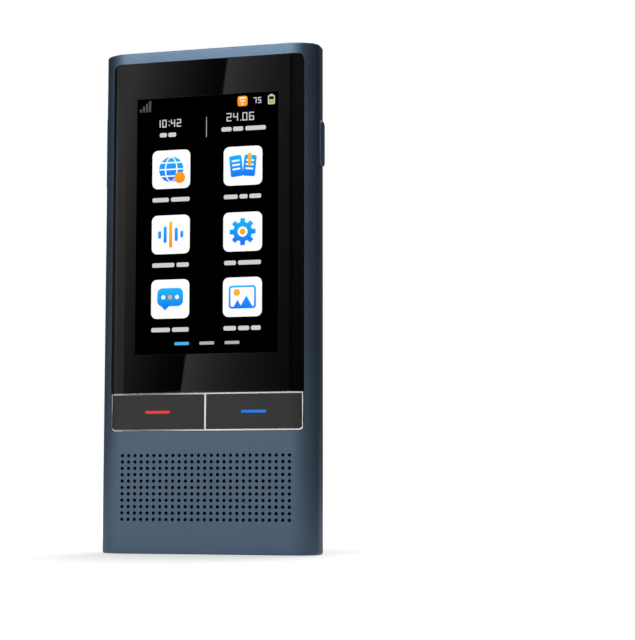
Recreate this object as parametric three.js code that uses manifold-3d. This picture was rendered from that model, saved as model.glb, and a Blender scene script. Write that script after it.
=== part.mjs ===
// A handheld translator: a slim two-part housing with a screen, two talk keys over a speaker grille,
// keys and a card tray in its sides, a camera behind, and the parts that these need inside.
// Millimetres. +Z is up, the screen faces -Y, and the origin is the middle of the foot.
// A depth is measured from the front face of the housing towards its back.

import * as THREE from "three";
import { mergeGeometries, mergeVertices } from "three/addons/utils/BufferGeometryUtils.js";
import Module from "manifold-3d";

const wasm = await Module();
wasm.setup();

// Housing: one cross-section runs the whole height, with a round front shoulder and a crowned back
const bodyHeight = 133;
const bodyWidth = 59.2;
const bodyDepth = 14.5;
const shoulderWidth = 6.9;
const shoulderDepthShare = 0.2966;
const cornerDepthShare = 0.3117;
const backFlatWidth = 23.8;
const backDropShare = 0.2193;
const seamInset = 3.05;
const endRounding = 0.6;
const wall = 1.3;
const endWall = 1.5;
const seamGap = 0.25;

// Lip and clips that hold the rear cover in the front shell
const seamRim = 1.2;
const lipDepth = 1.5;
const lipThickness = 0.8;
const lipClearance = 0.15;
const clipLength = 6;
const clipThickness = 0.6;
const clipReach = 0.5;
const clipClearance = 0.15;
const clipPlaceShares = [0.13, 0.36, 0.64, 0.93];
const ribThickness = 0.9;
const ribHeight = 0.8;
const ribWidth = 34;
const ribPlaceShares = [0.25, 0.37, 0.49, 0.61];

// Fits
const contactGap = 0.02;
const fitGap = 0.12;
const overrun = 1;

// Cover glass and the land that it is bonded to
const rimWidth = 3.25;
const glassTopMargin = 3.1;
const glassBottomShare = 0.3143;
const glassThickness = 1.1;
const glassTopRadius = 1.5;
const glassBottomRadius = 0.3;
const gasketThickness = 0.15;
const gasketWidth = 1.6;
const landThickness = 1;
const landMargin = 1;

// Display panel behind the glass
const activeSideMargin = 6.75;
const activeTopMargin = 9.7;
const activeBottomMargin = 10;
const panelSideBorder = 1.8;
const panelTopBorder = 1.8;
const panelBottomBorder = 4.2;
const panelThickness = 2;
const panelWindowGap = 0.4;
const cushionInset = 2;

// Talk keys, their bright trim frame and their board
const keyBarHeight = 10;
const keyBarRadius = 1.2;
const trimLine = 0.4;
const trimDivider = 0.55;
const keyCapThickness = 1.5;
const keyTravel = 0.35;
const travelMargin = 0.05;
const keyFloorThickness = 0.6;
const wellWall = 1;
const plungerRadius = 1.3;
const plungerReach = 0.25;
const plungerGap = 0.3;
const legSpread = 16;
const legWidth = 1.6;
const legThickness = 0.8;
const barbReach = 0.35;
const barbThickness = 0.35;
const markWidth = 6.9;
const markHeight = 0.75;
const markDepth = 0.4;
const markGap = 0.03;
const domeRadius = 2.2;
const domeHeight = 0.3;
const keyBoardThickness = 0.5;
const keyBoardMargin = 0.8;

// Speaker grille and what lies behind it
const grilleColumns = 27;
const grilleRows = 11;
const grilleSideMargin = 6.82;
const grilleBottomMargin = 8.92;
const grilleTopMargin = 6.33;
const grilleHoleRadius = 0.465;
const meshMargin = 0.9;
const meshThickness = 0.15;
const speakerScrewGap = 2.4;
const speakerSocketGap = 1.5;
const speakerCornerShare = 0.24;
const speakerGasketThickness = 0.6;
const speakerGasketWidth = 1.8;
const diaphragmRim = 2.4;
const diaphragmRecess = 1;
const diaphragmHeight = 0.6;

// Middle frame, a stamped plate that the display, battery and main board share
const frameThickness = 0.7;
const frameSideGap = 1.4;
const frameEndGap = 0.8;
const tabThickness = 0.5;
const tabHeight = 3.6;
const tabLength = 12;
const frameScrewInset = 2.9;
const frameScrewPlaceShares = [0.346, 0.677];
const boardScrewDrop = 4;
const bossRadius = 1.5;

// Main board, shields, battery and flat cables
const boardThickness = 0.8;
const boardLift = 0.1;
const boardSideGap = 4.3;
const boardTopGap = 0.7;
const boardTopHeight = 34.5;
const boardEarHeight = 6.4;
const boardLegDrop = 5.2;
const shieldGap = 1.2;
const shieldHeight = 1.9;
const shieldWall = 0.25;
const shieldWindow = 4;
const shieldCameraGap = 2.4;
const batterySpace = 2.48;
const batteryGap = 1.4;
const batterySideGap = 4.6;
const batteryRounding = 1;
const batteryBottomGap = 1.2;
const batteryBoardHeight = 2;
const batteryBoardThickness = 1.4;
const flexThickness = 0.15;
const flexWidth = 4.4;
const flexSeparation = 0.8;
const flexRun = 3.2;
const flexTurn = 1.6;
const flexSlotGap = 0.5;

// Lower board with the charging socket, motor and microphone
const lowerBoardThickness = 0.8;
const lowerBoardSideGap = 4.3;
const lowerBoardBottomGap = 1;
const lowerBoardTopGap = 1.6;
const lowerBoardSpace = 4.28;
const lowerScrewInset = 6.8;
const lowerScrewBottomInset = 2.1;
const lowerScrewTopInset = 1.4;
const lowerBossRadius = 1.6;
const socketWidth = 8.94;
const socketHeight = 3.2;
const socketLength = 7.3;
const socketSetback = 0.2;
const socketSkin = 0.3;
const socketBackWall = 1;
const tongueWidth = 6.7;
const tongueThickness = 0.7;
const tongueSetback = 0.8;
const motorRadius = 3;
const motorThickness = 2.7;
const motorMargin = 0.2;
const microphoneWidth = 2.8;
const microphoneHeight = 1.9;
const microphoneThickness = 1;
const microphoneScrewGap = 7.5;
const microphoneHoleRadius = 0.5;

// Side keys
const sideKeyHeightShare = 0.8038;
const sideKeyDepthShare = 0.4345;
const sideKeyWidth = 4;
const sideKeyRadius = 1.5;
const sideKeyProud = 0.4;
const sideKeyChamfer = 0.25;
const sideKeyGap = 0.15;
const sideKeyTravel = 0.3;
const powerLength = 12;
const volumeLength = 21;
const volumeTilt = 0.4;
const flangeMargin = 0.6;
const flangeThickness = 0.5;
const sidePlungerRadius = 0.9;
const volumeSwitchSpread = 12;
const switchSize = 3;
const switchHeight = 1.2;
const switchCapRadius = 0.9;
const switchCapHeight = 0.3;
const sideBoardThickness = 0.4;
const sideBoardMargin = 1;
const pivotNubHeight = 1;
const pivotNubWidth = 2.4;

// Card tray and its reader
const pinHoleHeightShare = 0.5752;
const pinHoleRadius = 0.6;
const pinHoleMargin = 2;
const trayPlateLength = 16.5;
const trayPlateWidth = 3;
const trayPlateThickness = 1.6;
const trayPlateRadius = 1.45;
const trayReach = 16.5;
const trayWidth = 11.8;
const trayThickness = 0.9;
const trayEndMargin = 0.8;
const cardWidth = 8.8;
const cardLength = 12.3;
const cardThickness = 0.7;
const trayGap = 0.15;
const readerSkin = 0.2;
const readerBackWall = 0.3;
const readerWallGap = 0.7;
const readerThickness = 1.6;

// Rear camera, its window and the flash
const cameraDrop = 4.9;
const bezelWidth = 9.4;
const bezelHeight = 25;
const bezelTopMargin = 7;
const bezelRadius = 1.6;
const bezelLine = 0.55;
const bezelProud = 0.25;
const bezelRounding = 0.15;
const cameraGlassThickness = 0.9;
const cameraGlassSink = 0.12;
const cameraFloorThickness = 0.7;
const cameraPadMargin = 1.2;
const cameraHoleRadius = 3.6;
const cameraBaseSize = 8.4;
const cameraBaseHeight = 3.8;
const barrelRadius = 3.1;
const barrelGap = 0.3;
const barrelWall = 0.8;
const lensThickness = 0.9;
const lensCrown = 0.35;
const lensSink = 0.2;
const flashOffset = 9.22;
const flashRadius = 1.8;
const flashGap = 0.1;
const flashFlangeRadius = 2.5;
const flashFlangeThickness = 0.6;
const flashStemRadius = 1.2;
const flashLedSize = 2;
const flashLedHeight = 0.7;
const flashLedGap = 0.25;

// Aerial carrier at the top
const aerialSideMargin = 4;
const aerialMicrophoneGap = 8;
const aerialHeight = 4.4;
const aerialLipGap = 0.2;
const aerialWall = 0.8;

// Screws
const screwRadius = 0.6;
const screwPilotGap = 0.06;
const screwClearance = 0.15;
const screwHeadRadius = 1.1;
const screwHeadHeight = 0.5;
const screwBite = 1.3;
const lowerScrewBite = 3;

// Facets
const shoulderSteps = 6;
const cornerSteps = 3;
const crownSteps = 4;
const roundingSteps = 2;
const arcSteps = 2;
const grilleHoleSides = 5;
const screwSides = 6;
const roundSides = 12;
const quarterTurn = Math.PI / 2;

// Places worked out from the sizes above
const halfWidth = bodyWidth / 2;
const seamHalf = halfWidth - seamInset;
const backDrop = backDropShare * bodyDepth;
const seamDepth = bodyDepth - backDrop;
const shoulderDepth = shoulderDepthShare * bodyDepth;
const sideEndDepth = seamDepth - cornerDepthShare * bodyDepth;
const crownWidth = seamHalf - backFlatWidth / 2;
const crownSlope = (2 * backDrop) / crownWidth;
const frontY = -(bodyDepth + bezelProud) / 2;
const innerHalf = halfWidth - wall;
const innerTop = bodyHeight - endWall;

const faceHalf = halfWidth - rimWidth;
const glassTop = bodyHeight - glassTopMargin;
const glassBottom = glassBottomShare * bodyHeight;
const landFront = glassThickness + gasketThickness;
const landBack = landFront + landThickness;

const panelHalf = faceHalf - activeSideMargin + panelSideBorder;
const panelBottom = glassBottom + activeBottomMargin - panelBottomBorder;
const panelTop = glassTop - activeTopMargin + panelTopBorder;
const panelFront = glassThickness + contactGap;
const panelBack = panelFront + panelThickness;

const keyBarBottom = glassBottom - keyBarHeight;
const keyFloorFront = keyCapThickness + keyTravel + travelMargin;
const keyFloorBack = keyFloorFront + keyFloorThickness;
const plungerEnd = keyFloorBack + plungerReach;
const domeTop = plungerEnd + keyTravel + travelMargin;
const keyBoardFront = domeTop + domeHeight + contactGap;
const keyBoardBack = keyBoardFront + keyBoardThickness;
const keyBoardBottom = keyBarBottom - keyBoardMargin;
const keyBoardTop = glassBottom + keyBoardMargin;
const keyBarTop = glassBottom - fitGap;
const keyMiddle = (keyBarBottom + keyBarTop) / 2;
const keyCentre = (faceHalf - trimLine + trimDivider / 2) / 2;

const frameFront = keyBoardBack + contactGap;
const frameBack = frameFront + frameThickness;
const frameHalf = innerHalf - frameSideGap;
const frameTop = innerTop - frameEndGap;
const screwX = innerHalf - frameScrewInset;
const boardFront = frameBack + boardLift;
const boardBack = boardFront + boardThickness;
const boardHalf = innerHalf - boardSideGap;
const boardTop = innerTop - boardTopGap;
const boardShoulder = boardTop - boardTopHeight;
const boardScrewZ = boardTop - boardScrewDrop;

const pinHoleHeight = pinHoleHeightShare * bodyHeight;
const trayPlateTop = pinHoleHeight + pinHoleMargin;
const trayPlateBottom = trayPlateTop - trayPlateLength;
const readerFront = boardBack + contactGap;
const readerBack = readerFront + readerThickness;
const trayDepth = (readerFront + readerBack) / 2;
const trayBottom = trayPlateBottom + trayEndMargin;
const trayTop = trayBottom + trayWidth;
const trayInnerX = -halfWidth + trayReach;
const readerInnerX = trayInnerX + trayGap + readerBackWall;
const readerBottom = trayBottom - trayGap - readerSkin;
const readerTop = pinHoleHeight + pinHoleRadius + trayGap + readerSkin;
const boardLegBottom = readerBottom - boardLegDrop;
const boardLegRight = readerInnerX + shieldGap / 2;

const batteryLeft = boardLegRight + batteryGap / 2;
const batteryRight = innerHalf - batterySideGap;
const batteryBottom = keyBoardBottom + batteryBottomGap;
const batteryTop = boardShoulder - batteryGap;
const batteryFront = frameBack + contactGap;
const batteryThickness = bodyDepth - wall - ribHeight - batterySpace - batteryFront;

const sideKeyHeight = sideKeyHeightShare * bodyHeight;
const sideKeyDepth = sideKeyDepthShare * bodyDepth;
const powerFlangeOuter = innerHalf - travelMargin;
const powerFlangeInner = powerFlangeOuter - flangeThickness;
const volumeFlangeOuter = innerHalf - volumeTilt - travelMargin;
const volumeFlangeInner = volumeFlangeOuter - flangeThickness;
const sideBoardInner = boardHalf + boardLift + tabThickness + contactGap;
const sideBoardOuter = sideBoardInner + sideBoardThickness;
const switchOuter = sideBoardOuter + contactGap + switchHeight;
const powerPlungerEnd = switchOuter + sideKeyTravel + travelMargin;
const volumePress = (volumeTilt * volumeSwitchSpread) / (volumeLength + 2 * flangeMargin);
const volumePlungerEnd = switchOuter + volumePress + travelMargin;

const grilleColumnPitch = (2 * (halfWidth - grilleSideMargin)) / (grilleColumns - 1);
const grilleRowPitch = (keyBarBottom - grilleTopMargin - grilleBottomMargin) / (grilleRows - 1);
const grilleMiddle = (keyBarBottom - grilleTopMargin + grilleBottomMargin) / 2;
const meshFront = wall + contactGap;
const meshBack = meshFront + meshThickness;
const speakerGasketFront = meshBack + contactGap;
const speakerGasketBack = speakerGasketFront + speakerGasketThickness;
const speakerFront = speakerGasketBack + contactGap;
const lowerBoardBack = bodyDepth - wall - lowerBoardSpace;
const lowerBoardFront = lowerBoardBack - lowerBoardThickness;
const speakerBack = lowerBoardFront - contactGap;
const lowerBoardHalf = innerHalf - lowerBoardSideGap;
const lowerBoardBottom = endWall + lowerBoardBottomGap;
const lowerBoardTop = keyBarBottom - lowerBoardTopGap;
const lowerScrewX = innerHalf - lowerScrewInset;
const lowerScrewLow = lowerBoardBottom + lowerScrewBottomInset;
const lowerScrewHigh = lowerBoardTop - lowerScrewTopInset;
const socketDepth = lowerBoardFront - contactGap - socketHeight / 2;
const socketTop = socketSetback + socketLength;
const speakerHalf = lowerScrewX - lowerBossRadius - speakerScrewGap;
const speakerRise = grilleMiddle - socketTop - speakerSocketGap;
const microphonePlace = lowerScrewX - microphoneScrewGap;

const bezelTop = bodyHeight - bezelTopMargin;
const bezelBottom = bezelTop - bezelHeight;
const cameraHeight = bezelTop - cameraDrop;
const cameraPocketFloor = bodyDepth + bezelProud - cameraGlassSink - cameraGlassThickness - contactGap;
const cameraPadFront = cameraPocketFloor - cameraFloorThickness;
const barrelEnd = cameraPadFront - barrelGap;

// Solids
function solid(geometry) {
  const bare = geometry.clone();
  bare.deleteAttribute("normal");
  bare.deleteAttribute("uv");
  const welded = mergeVertices(bare);
  return new wasm.Manifold(
    new wasm.Mesh({
      numProp: 3,
      vertProperties: new Float32Array(welded.attributes.position.array),
      triVerts: new Uint32Array(welded.index.array),
    }),
  );
}

function join(...solids) {
  return solids.reduce((whole, piece) => whole.add(piece));
}

function cut(base, ...tools) {
  return tools.reduce((rest, tool) => rest.subtract(tool), base);
}

// A box between two places on each axis, with its depth counted from the front face
function block(xLow, xHigh, depthFront, depthBack, zLow, zHigh) {
  const box = new THREE.BoxGeometry(xHigh - xLow, depthBack - depthFront, zHigh - zLow);
  box.translate((xLow + xHigh) / 2, frontY + (depthFront + depthBack) / 2, (zLow + zHigh) / 2);
  return solid(box);
}

// An outline in x and z, carried through the depth
function slab(shape, depthFront, depthBack) {
  const plate = new THREE.ExtrudeGeometry(shape, {
    depth: depthBack - depthFront,
    bevelEnabled: false,
    curveSegments: arcSteps,
  });
  plate.rotateX(quarterTurn);
  plate.translate(0, frontY + depthBack, 0);
  return solid(plate);
}

// An outline in y and z, carried across x, with its outer edges chamfered where a chamfer is given
function crossPrism(shape, xLow, xHigh, chamfer = 0) {
  const prism = new THREE.ExtrudeGeometry(shape, {
    depth: xHigh - xLow - 2 * chamfer,
    bevelEnabled: chamfer > 0,
    bevelThickness: chamfer,
    bevelSize: chamfer,
    bevelOffset: -chamfer,
    bevelSegments: 1,
    curveSegments: arcSteps,
  });
  prism.translate(0, 0, xLow + chamfer);
  prism.applyMatrix4(
    new THREE.Matrix4().makeBasis(
      new THREE.Vector3(0, 1, 0),
      new THREE.Vector3(0, 0, 1),
      new THREE.Vector3(1, 0, 0),
    ),
  );
  return solid(prism);
}

// A round post that stands along the depth
function post(radius, depthFront, depthBack, x, z, sides = roundSides) {
  const cylinder = new THREE.CylinderGeometry(radius, radius, depthBack - depthFront, sides);
  cylinder.translate(x, frontY + (depthFront + depthBack) / 2, z);
  return solid(cylinder);
}

// A round bar along x
function crossBar(radius, xLow, xHigh, depth, z, sides = roundSides) {
  const cylinder = new THREE.CylinderGeometry(radius, radius, xHigh - xLow, sides);
  cylinder.rotateZ(quarterTurn);
  cylinder.translate((xLow + xHigh) / 2, frontY + depth, z);
  return solid(cylinder);
}

// A rectangle whose two low corners and two high corners have radii of their own
function plateShape(left, right, low, high, lowRadius, highRadius = lowRadius) {
  const shape = new THREE.Shape();
  shape.moveTo(left + lowRadius, low);
  shape.lineTo(right - lowRadius, low);
  shape.absarc(right - lowRadius, low + lowRadius, lowRadius, -quarterTurn, 0);
  shape.lineTo(right, high - highRadius);
  shape.absarc(right - highRadius, high - highRadius, highRadius, 0, quarterTurn);
  shape.lineTo(left + highRadius, high);
  shape.absarc(left + highRadius, high - highRadius, highRadius, quarterTurn, 2 * quarterTurn);
  shape.lineTo(left, low + lowRadius);
  shape.absarc(left + lowRadius, low + lowRadius, lowRadius, 2 * quarterTurn, 3 * quarterTurn);
  return shape;
}

// Moves each point of a closed outline inwards by the same distance, measured square to its edges
function inset(points, distance) {
  const inwards = (from, to) => new THREE.Vector2(from.y - to.y, to.x - from.x).normalize();
  return points.map((point, i) => {
    const before = inwards(points.at(i - 1), point);
    const after = inwards(point, points[(i + 1) % points.length]);
    const miter = before.clone().add(after).divideScalar(1 + before.dot(after));
    return point.clone().addScaledVector(miter, distance);
  });
}

// A flat cable: a line of points in y and z given a thickness, and carried across x
function ribbon(points, xLow, xHigh) {
  const line = points.map(([depth, z]) => new THREE.Vector2(frontY + depth, z));
  const side = line.map((point, i) => {
    const along = line[Math.min(i + 1, line.length - 1)].clone().sub(line[Math.max(i - 1, 0)]).normalize();
    return point.clone().add(new THREE.Vector2(along.y, -along.x).multiplyScalar(flexThickness));
  });
  return crossPrism(new THREE.Shape([...side, ...line.reverse()]), xLow, xHigh);
}

// The cross-section of the housing, anticlockwise from the front corner on the right
function sectionPoints() {
  const right = [];
  for (let i = 0; i <= shoulderSteps; i += 1) {
    const turn = (i / shoulderSteps) * quarterTurn;
    const x = halfWidth - shoulderWidth * (1 - Math.sin(turn));
    right.push(new THREE.Vector2(x, shoulderDepth * (1 - Math.cos(turn))));
  }
  const corner = new THREE.QuadraticBezierCurve(
    new THREE.Vector2(halfWidth, sideEndDepth),
    new THREE.Vector2(halfWidth, seamDepth - crownSlope * seamInset),
    new THREE.Vector2(seamHalf, seamDepth),
  );
  right.push(...corner.getPoints(cornerSteps));
  for (let i = 1; i <= crownSteps; i += 1) {
    const share = 1 - i / crownSteps;
    right.push(new THREE.Vector2(backFlatWidth / 2 + crownWidth * share, bodyDepth - backDrop * share ** 2));
  }
  const left = right.map((point) => new THREE.Vector2(-point.x, point.y)).reverse();
  return [...right, ...left].map((point) => point.setY(frontY + point.y));
}

const section = sectionPoints();

function upright(points, zLow, zHigh) {
  const prism = new THREE.ExtrudeGeometry(new THREE.Shape(points), {
    depth: zHigh - zLow,
    bevelEnabled: false,
  });
  prism.translate(0, 0, zLow);
  return solid(prism);
}

// The whole outside of the housing, with its top and bottom edges rounded
function bodySolid() {
  const prism = new THREE.ExtrudeGeometry(new THREE.Shape(section), {
    depth: bodyHeight - 2 * endRounding,
    bevelThickness: endRounding,
    bevelSize: endRounding,
    bevelOffset: -endRounding,
    bevelSegments: roundingSteps,
  });
  prism.translate(0, 0, endRounding);
  return solid(prism);
}

// The room inside the walls, less a margin
function hollowWithin(margin) {
  return upright(inset(section, wall + margin), endWall + margin, innerTop - margin);
}

const body = bodySolid();
const hollow = hollowWithin(0);
const clipPlaces = clipPlaceShares.map((share) => share * bodyHeight);
const clipDepth = seamDepth - lipDepth + clipThickness / 2;
const openingHalf = seamHalf - seamRim;
const lipHalf = openingHalf - lipClearance;

// Everything between two depths, over the whole width and height
function layer(depthFront, depthBack) {
  return block(-bodyWidth, bodyWidth, depthFront, depthBack, -overrun, bodyHeight + overrun);
}

function frameScrewPlaces() {
  const levels = frameScrewPlaceShares.map((share) => share * bodyHeight);
  return levels.flatMap((z) => [[-screwX, z], [screwX, z]]);
}

function boardScrewPlaces() {
  return [[-screwX, boardScrewZ], [screwX, boardScrewZ]];
}

function lowerScrewPlaces() {
  return [lowerScrewLow, lowerScrewHigh].flatMap((z) => [[-lowerScrewX, z], [lowerScrewX, z]]);
}

// The grille: a square field of small holes, drilled together
function grilleHoles() {
  const holes = [];
  const length = wall + 2 * overrun;
  for (let row = 0; row < grilleRows; row += 1) {
    for (let column = 0; column < grilleColumns; column += 1) {
      const hole = new THREE.CylinderGeometry(grilleHoleRadius, grilleHoleRadius, length, grilleHoleSides);
      const x = (column - (grilleColumns - 1) / 2) * grilleColumnPitch;
      const z = grilleMiddle + (row - (grilleRows - 1) / 2) * grilleRowPitch;
      hole.translate(x, frontY + wall / 2, z);
      holes.push(hole);
    }
  }
  return solid(mergeGeometries(holes));
}

function faceShape(gap, low, high, lowRadius, highRadius) {
  return plateShape(-faceHalf - gap, faceHalf + gap, low, high, lowRadius, highRadius);
}

// A side opening or key outline: a rectangle with round corners in y and z
function sideShape(depth, width, low, high, radius, gap = 0) {
  const y = frontY + depth;
  return plateShape(y - width / 2 - gap, y + width / 2 + gap, low - gap, high + gap, radius);
}

function keyShape(length, gap) {
  const [low, high] = [sideKeyHeight - length / 2, sideKeyHeight + length / 2];
  return sideShape(sideKeyDepth, sideKeyWidth, low, high, sideKeyRadius, gap);
}

function socketShape(margin) {
  const half = socketWidth / 2 + margin;
  const rise = socketHeight / 2 + margin;
  const y = frontY + socketDepth;
  return plateShape(-half, half, y - rise, y + rise, rise);
}

// An outline in x and y, carried up
function uprightShape(shape, zLow, zHigh) {
  const prism = new THREE.ExtrudeGeometry(shape, {
    depth: zHigh - zLow,
    bevelEnabled: false,
    curveSegments: arcSteps,
  });
  prism.translate(0, 0, zLow);
  return solid(prism);
}

function microphoneHole(x, zLow, zHigh) {
  const radius = microphoneHoleRadius;
  const hole = new THREE.CylinderGeometry(radius, radius, zHigh - zLow, screwSides);
  hole.rotateX(quarterTurn);
  hole.translate(x, frontY + socketDepth, (zLow + zHigh) / 2);
  return solid(hole);
}

// Legs of a talk key, through the floor of the key well, with barbs that hook behind it
function keyLegs(centre, gap, depthFront, depthBack) {
  return [-1, 1].map((side) => {
    const x = centre + (side * legSpread) / 2;
    const half = legWidth / 2 + gap;
    const rise = legThickness / 2 + gap;
    return block(x - half, x + half, depthFront, depthBack, keyMiddle - rise, keyMiddle + rise);
  });
}

// Front shell: a deep tub with the glass land, the key well, the grille, bosses and side openings
function frontShell() {
  const opening = block(-openingHalf, openingHalf, sideEndDepth, bodyDepth, endWall, innerTop);
  const tub = cut(body.intersect(layer(-overrun, seamDepth - seamGap / 2)), hollow, opening);
  const landHalf = faceHalf + landMargin;
  const land = body.intersect(block(-landHalf, landHalf, 0, landBack, glassBottom, glassTop + landMargin));
  const wellBottom = keyBarBottom - wellWall;
  const wellTop = glassBottom + wellWall;
  const well = body.intersect(block(-landHalf, landHalf, 0, keyFloorBack, wellBottom, wellTop));
  const frameBosses = [...frameScrewPlaces(), ...boardScrewPlaces()].map(([x, z]) =>
    post(bossRadius, landFront + landThickness / 2, frameFront - contactGap, x, z, roundSides / 2),
  );
  const lowerBosses = lowerScrewPlaces().map(([x, z]) =>
    post(lowerBossRadius, wall / 2, lowerBoardFront - contactGap, x, z, roundSides / 2),
  );
  const shell = join(tub, land, well, ...frameBosses, ...lowerBosses);

  const glassPocket = slab(
    faceShape(fitGap, glassBottom - fitGap, glassTop + fitGap, glassBottomRadius, glassTopRadius),
    -overrun,
    landFront,
  );
  const panelWindow = block(
    -panelHalf - panelWindowGap,
    panelHalf + panelWindowGap,
    -overrun,
    landBack + overrun,
    panelBottom - panelWindowGap,
    panelTop + panelWindowGap,
  );
  const keyPocket = slab(
    faceShape(fitGap, keyBarBottom - fitGap, glassBottom, keyBarRadius, glassBottomRadius),
    -overrun,
    keyFloorFront,
  );
  const keyHoles = [-keyCentre, keyCentre].flatMap((x) => [
    post(plungerRadius + plungerGap, 0, keyFloorBack + overrun, x, keyMiddle),
    ...keyLegs(x, plungerGap + barbReach, 0, keyFloorBack + overrun),
  ]);
  const pilots = [...frameScrewPlaces(), ...boardScrewPlaces()].map(([x, z]) =>
    post(screwRadius + screwPilotGap, frameFront - screwBite - contactGap, frameBack, x, z, screwSides),
  );
  const lowerPilots = lowerScrewPlaces().map(([x, z]) => {
    const bottom = lowerBoardFront - lowerScrewBite - contactGap;
    return post(screwRadius + screwPilotGap, bottom, lowerBoardBack, x, z, screwSides);
  });
  const volumeSlot = crossPrism(keyShape(volumeLength, sideKeyGap), -halfWidth - overrun, -innerHalf + wall);
  const powerSlot = crossPrism(keyShape(powerLength, sideKeyGap), innerHalf - wall, halfWidth + overrun);
  const traySlot = crossPrism(
    sideShape(trayDepth, trayPlateWidth, trayPlateBottom, trayPlateTop, trayPlateRadius, fitGap),
    -halfWidth - overrun,
    -innerHalf + wall,
  );
  const socketHole = uprightShape(socketShape(fitGap), -overrun, endWall + overrun);
  const clipRecesses = clipPlaces.flatMap((z) =>
    [-1, 1].map((side) => {
      const [near, far] = [lipHalf - seamRim, lipHalf + clipReach + clipClearance].map((x) => side * x);
      return block(
        Math.min(near, far),
        Math.max(near, far),
        clipDepth - clipThickness / 2 - clipClearance,
        clipDepth + clipThickness / 2 + clipClearance,
        z - clipLength / 2 - clipClearance,
        z + clipLength / 2 + clipClearance,
      );
    }),
  );
  return cut(
    shell,
    glassPocket,
    panelWindow,
    keyPocket,
    ...keyHoles,
    ...pilots,
    ...lowerPilots,
    volumeSlot,
    powerSlot,
    traySlot,
    socketHole,
    microphoneHole(-microphonePlace, -overrun, endWall + overrun),
    microphoneHole(microphonePlace, innerTop - overrun, bodyHeight + overrun),
    ...clipRecesses,
    grilleHoles(),
  );
}

// Rear cover: a crowned plate over the whole back, with a lip and clips round its sides, stiffening
// ribs, and the pocket that the camera window sits in
function rearCover() {
  const seamBack = seamDepth + seamGap / 2;
  const innerDepth = bodyDepth - wall;
  const plate = cut(body.intersect(layer(seamBack, bodyDepth + overrun)), hollow);
  const lipLow = endWall + lipClearance;
  const lipHigh = innerTop - lipClearance;
  const lip = block(-lipHalf, lipHalf, seamDepth - lipDepth, innerDepth, lipLow, lipHigh);
  const root = block(-lipHalf, lipHalf, seamBack, innerDepth, endWall / 2, innerTop + endWall / 2);
  const room = block(
    -lipHalf + lipThickness,
    lipHalf - lipThickness,
    sideEndDepth,
    bodyDepth,
    lipLow + lipThickness,
    lipHigh - lipThickness,
  );
  const rim = body.intersect(cut(join(lip, root), room));
  const clips = clipPlaces.flatMap((z) =>
    [-1, 1].map((side) => {
      const [near, far] = [lipHalf - lipThickness, lipHalf + clipReach].map((x) => side * x);
      return block(
        Math.min(near, far),
        Math.max(near, far),
        clipDepth - clipThickness / 2,
        clipDepth + clipThickness / 2,
        z - clipLength / 2,
        z + clipLength / 2,
      );
    }),
  );
  const ribs = ribPlaceShares.map((share) => {
    const low = share * bodyHeight - ribThickness / 2;
    const half = ribWidth / 2;
    const bar = block(-half, half, innerDepth - ribHeight, bodyDepth, low, low + ribThickness);
    return body.intersect(bar);
  });
  const padHalf = bezelWidth / 2 + cameraPadMargin;
  const pad = block(
    -padHalf,
    padHalf,
    cameraPadFront,
    bodyDepth - wall / 2,
    bezelBottom - cameraPadMargin,
    bezelTop + cameraPadMargin,
  );
  const cover = join(plate, rim, ...clips, ...ribs, pad);
  const half = bezelWidth / 2 + fitGap;
  const pocket = slab(
    plateShape(-half, half, bezelBottom - fitGap, bezelTop + fitGap, bezelRadius),
    cameraPocketFloor,
    bodyDepth + overrun,
  );
  const cameraHole = post(cameraHoleRadius, cameraPadFront - overrun, bodyDepth, 0, cameraHeight);
  const flashHole = post(flashRadius + flashGap, seamDepth, bodyDepth + overrun, flashOffset, cameraHeight);
  return cut(cover, pocket, cameraHole, flashHole);
}

// Cover glass: flat behind, and following the round shoulders of the housing in front
function coverGlass() {
  const shape = faceShape(0, glassBottom, glassTop, glassBottomRadius, glassTopRadius);
  return body.intersect(slab(shape, -overrun, glassThickness));
}

function glassGasket() {
  const front = glassThickness + contactGap;
  const back = landFront - contactGap;
  const sheet = (margin, near, far) =>
    block(-faceHalf + margin, faceHalf - margin, near, far, glassBottom + margin, glassTop - margin);
  return cut(sheet(gasketWidth, front, back), sheet(2 * gasketWidth, front - overrun, back + overrun));
}

function displayPanel() {
  return block(-panelHalf, panelHalf, panelFront, panelBack, panelBottom, panelTop);
}

function displayCushion() {
  const half = panelHalf - cushionInset;
  const low = panelBottom + cushionInset;
  const high = panelTop - cushionInset;
  const window = block(-half + cushionInset, half - cushionInset, panelBack, frameBack,
    low + cushionInset, high - cushionInset);
  return cut(block(-half, half, panelBack + contactGap, frameFront - contactGap, low, high), window);
}

// The outline of one talk key inside the trim, with a gap all round
function talkKeyShape(side, gap) {
  const [near, far] = [trimDivider / 2 + gap, faceHalf - trimLine - gap].map((x) => side * x);
  const [left, right] = [Math.min(near, far), Math.max(near, far)];
  const margin = trimLine + gap;
  return plateShape(left, right, keyBarBottom + margin, keyBarTop - margin, keyBarRadius - trimLine);
}

// Bright frame round both keys, with the divider between them
function keyTrim() {
  const outer = faceShape(0, keyBarBottom, keyBarTop, keyBarRadius, glassBottomRadius);
  const frame = body.intersect(slab(outer, -overrun, keyFloorFront - contactGap));
  return cut(frame, ...[-1, 1].map((side) => slab(talkKeyShape(side, 0), -overrun, keyFloorFront + overrun)));
}

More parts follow.
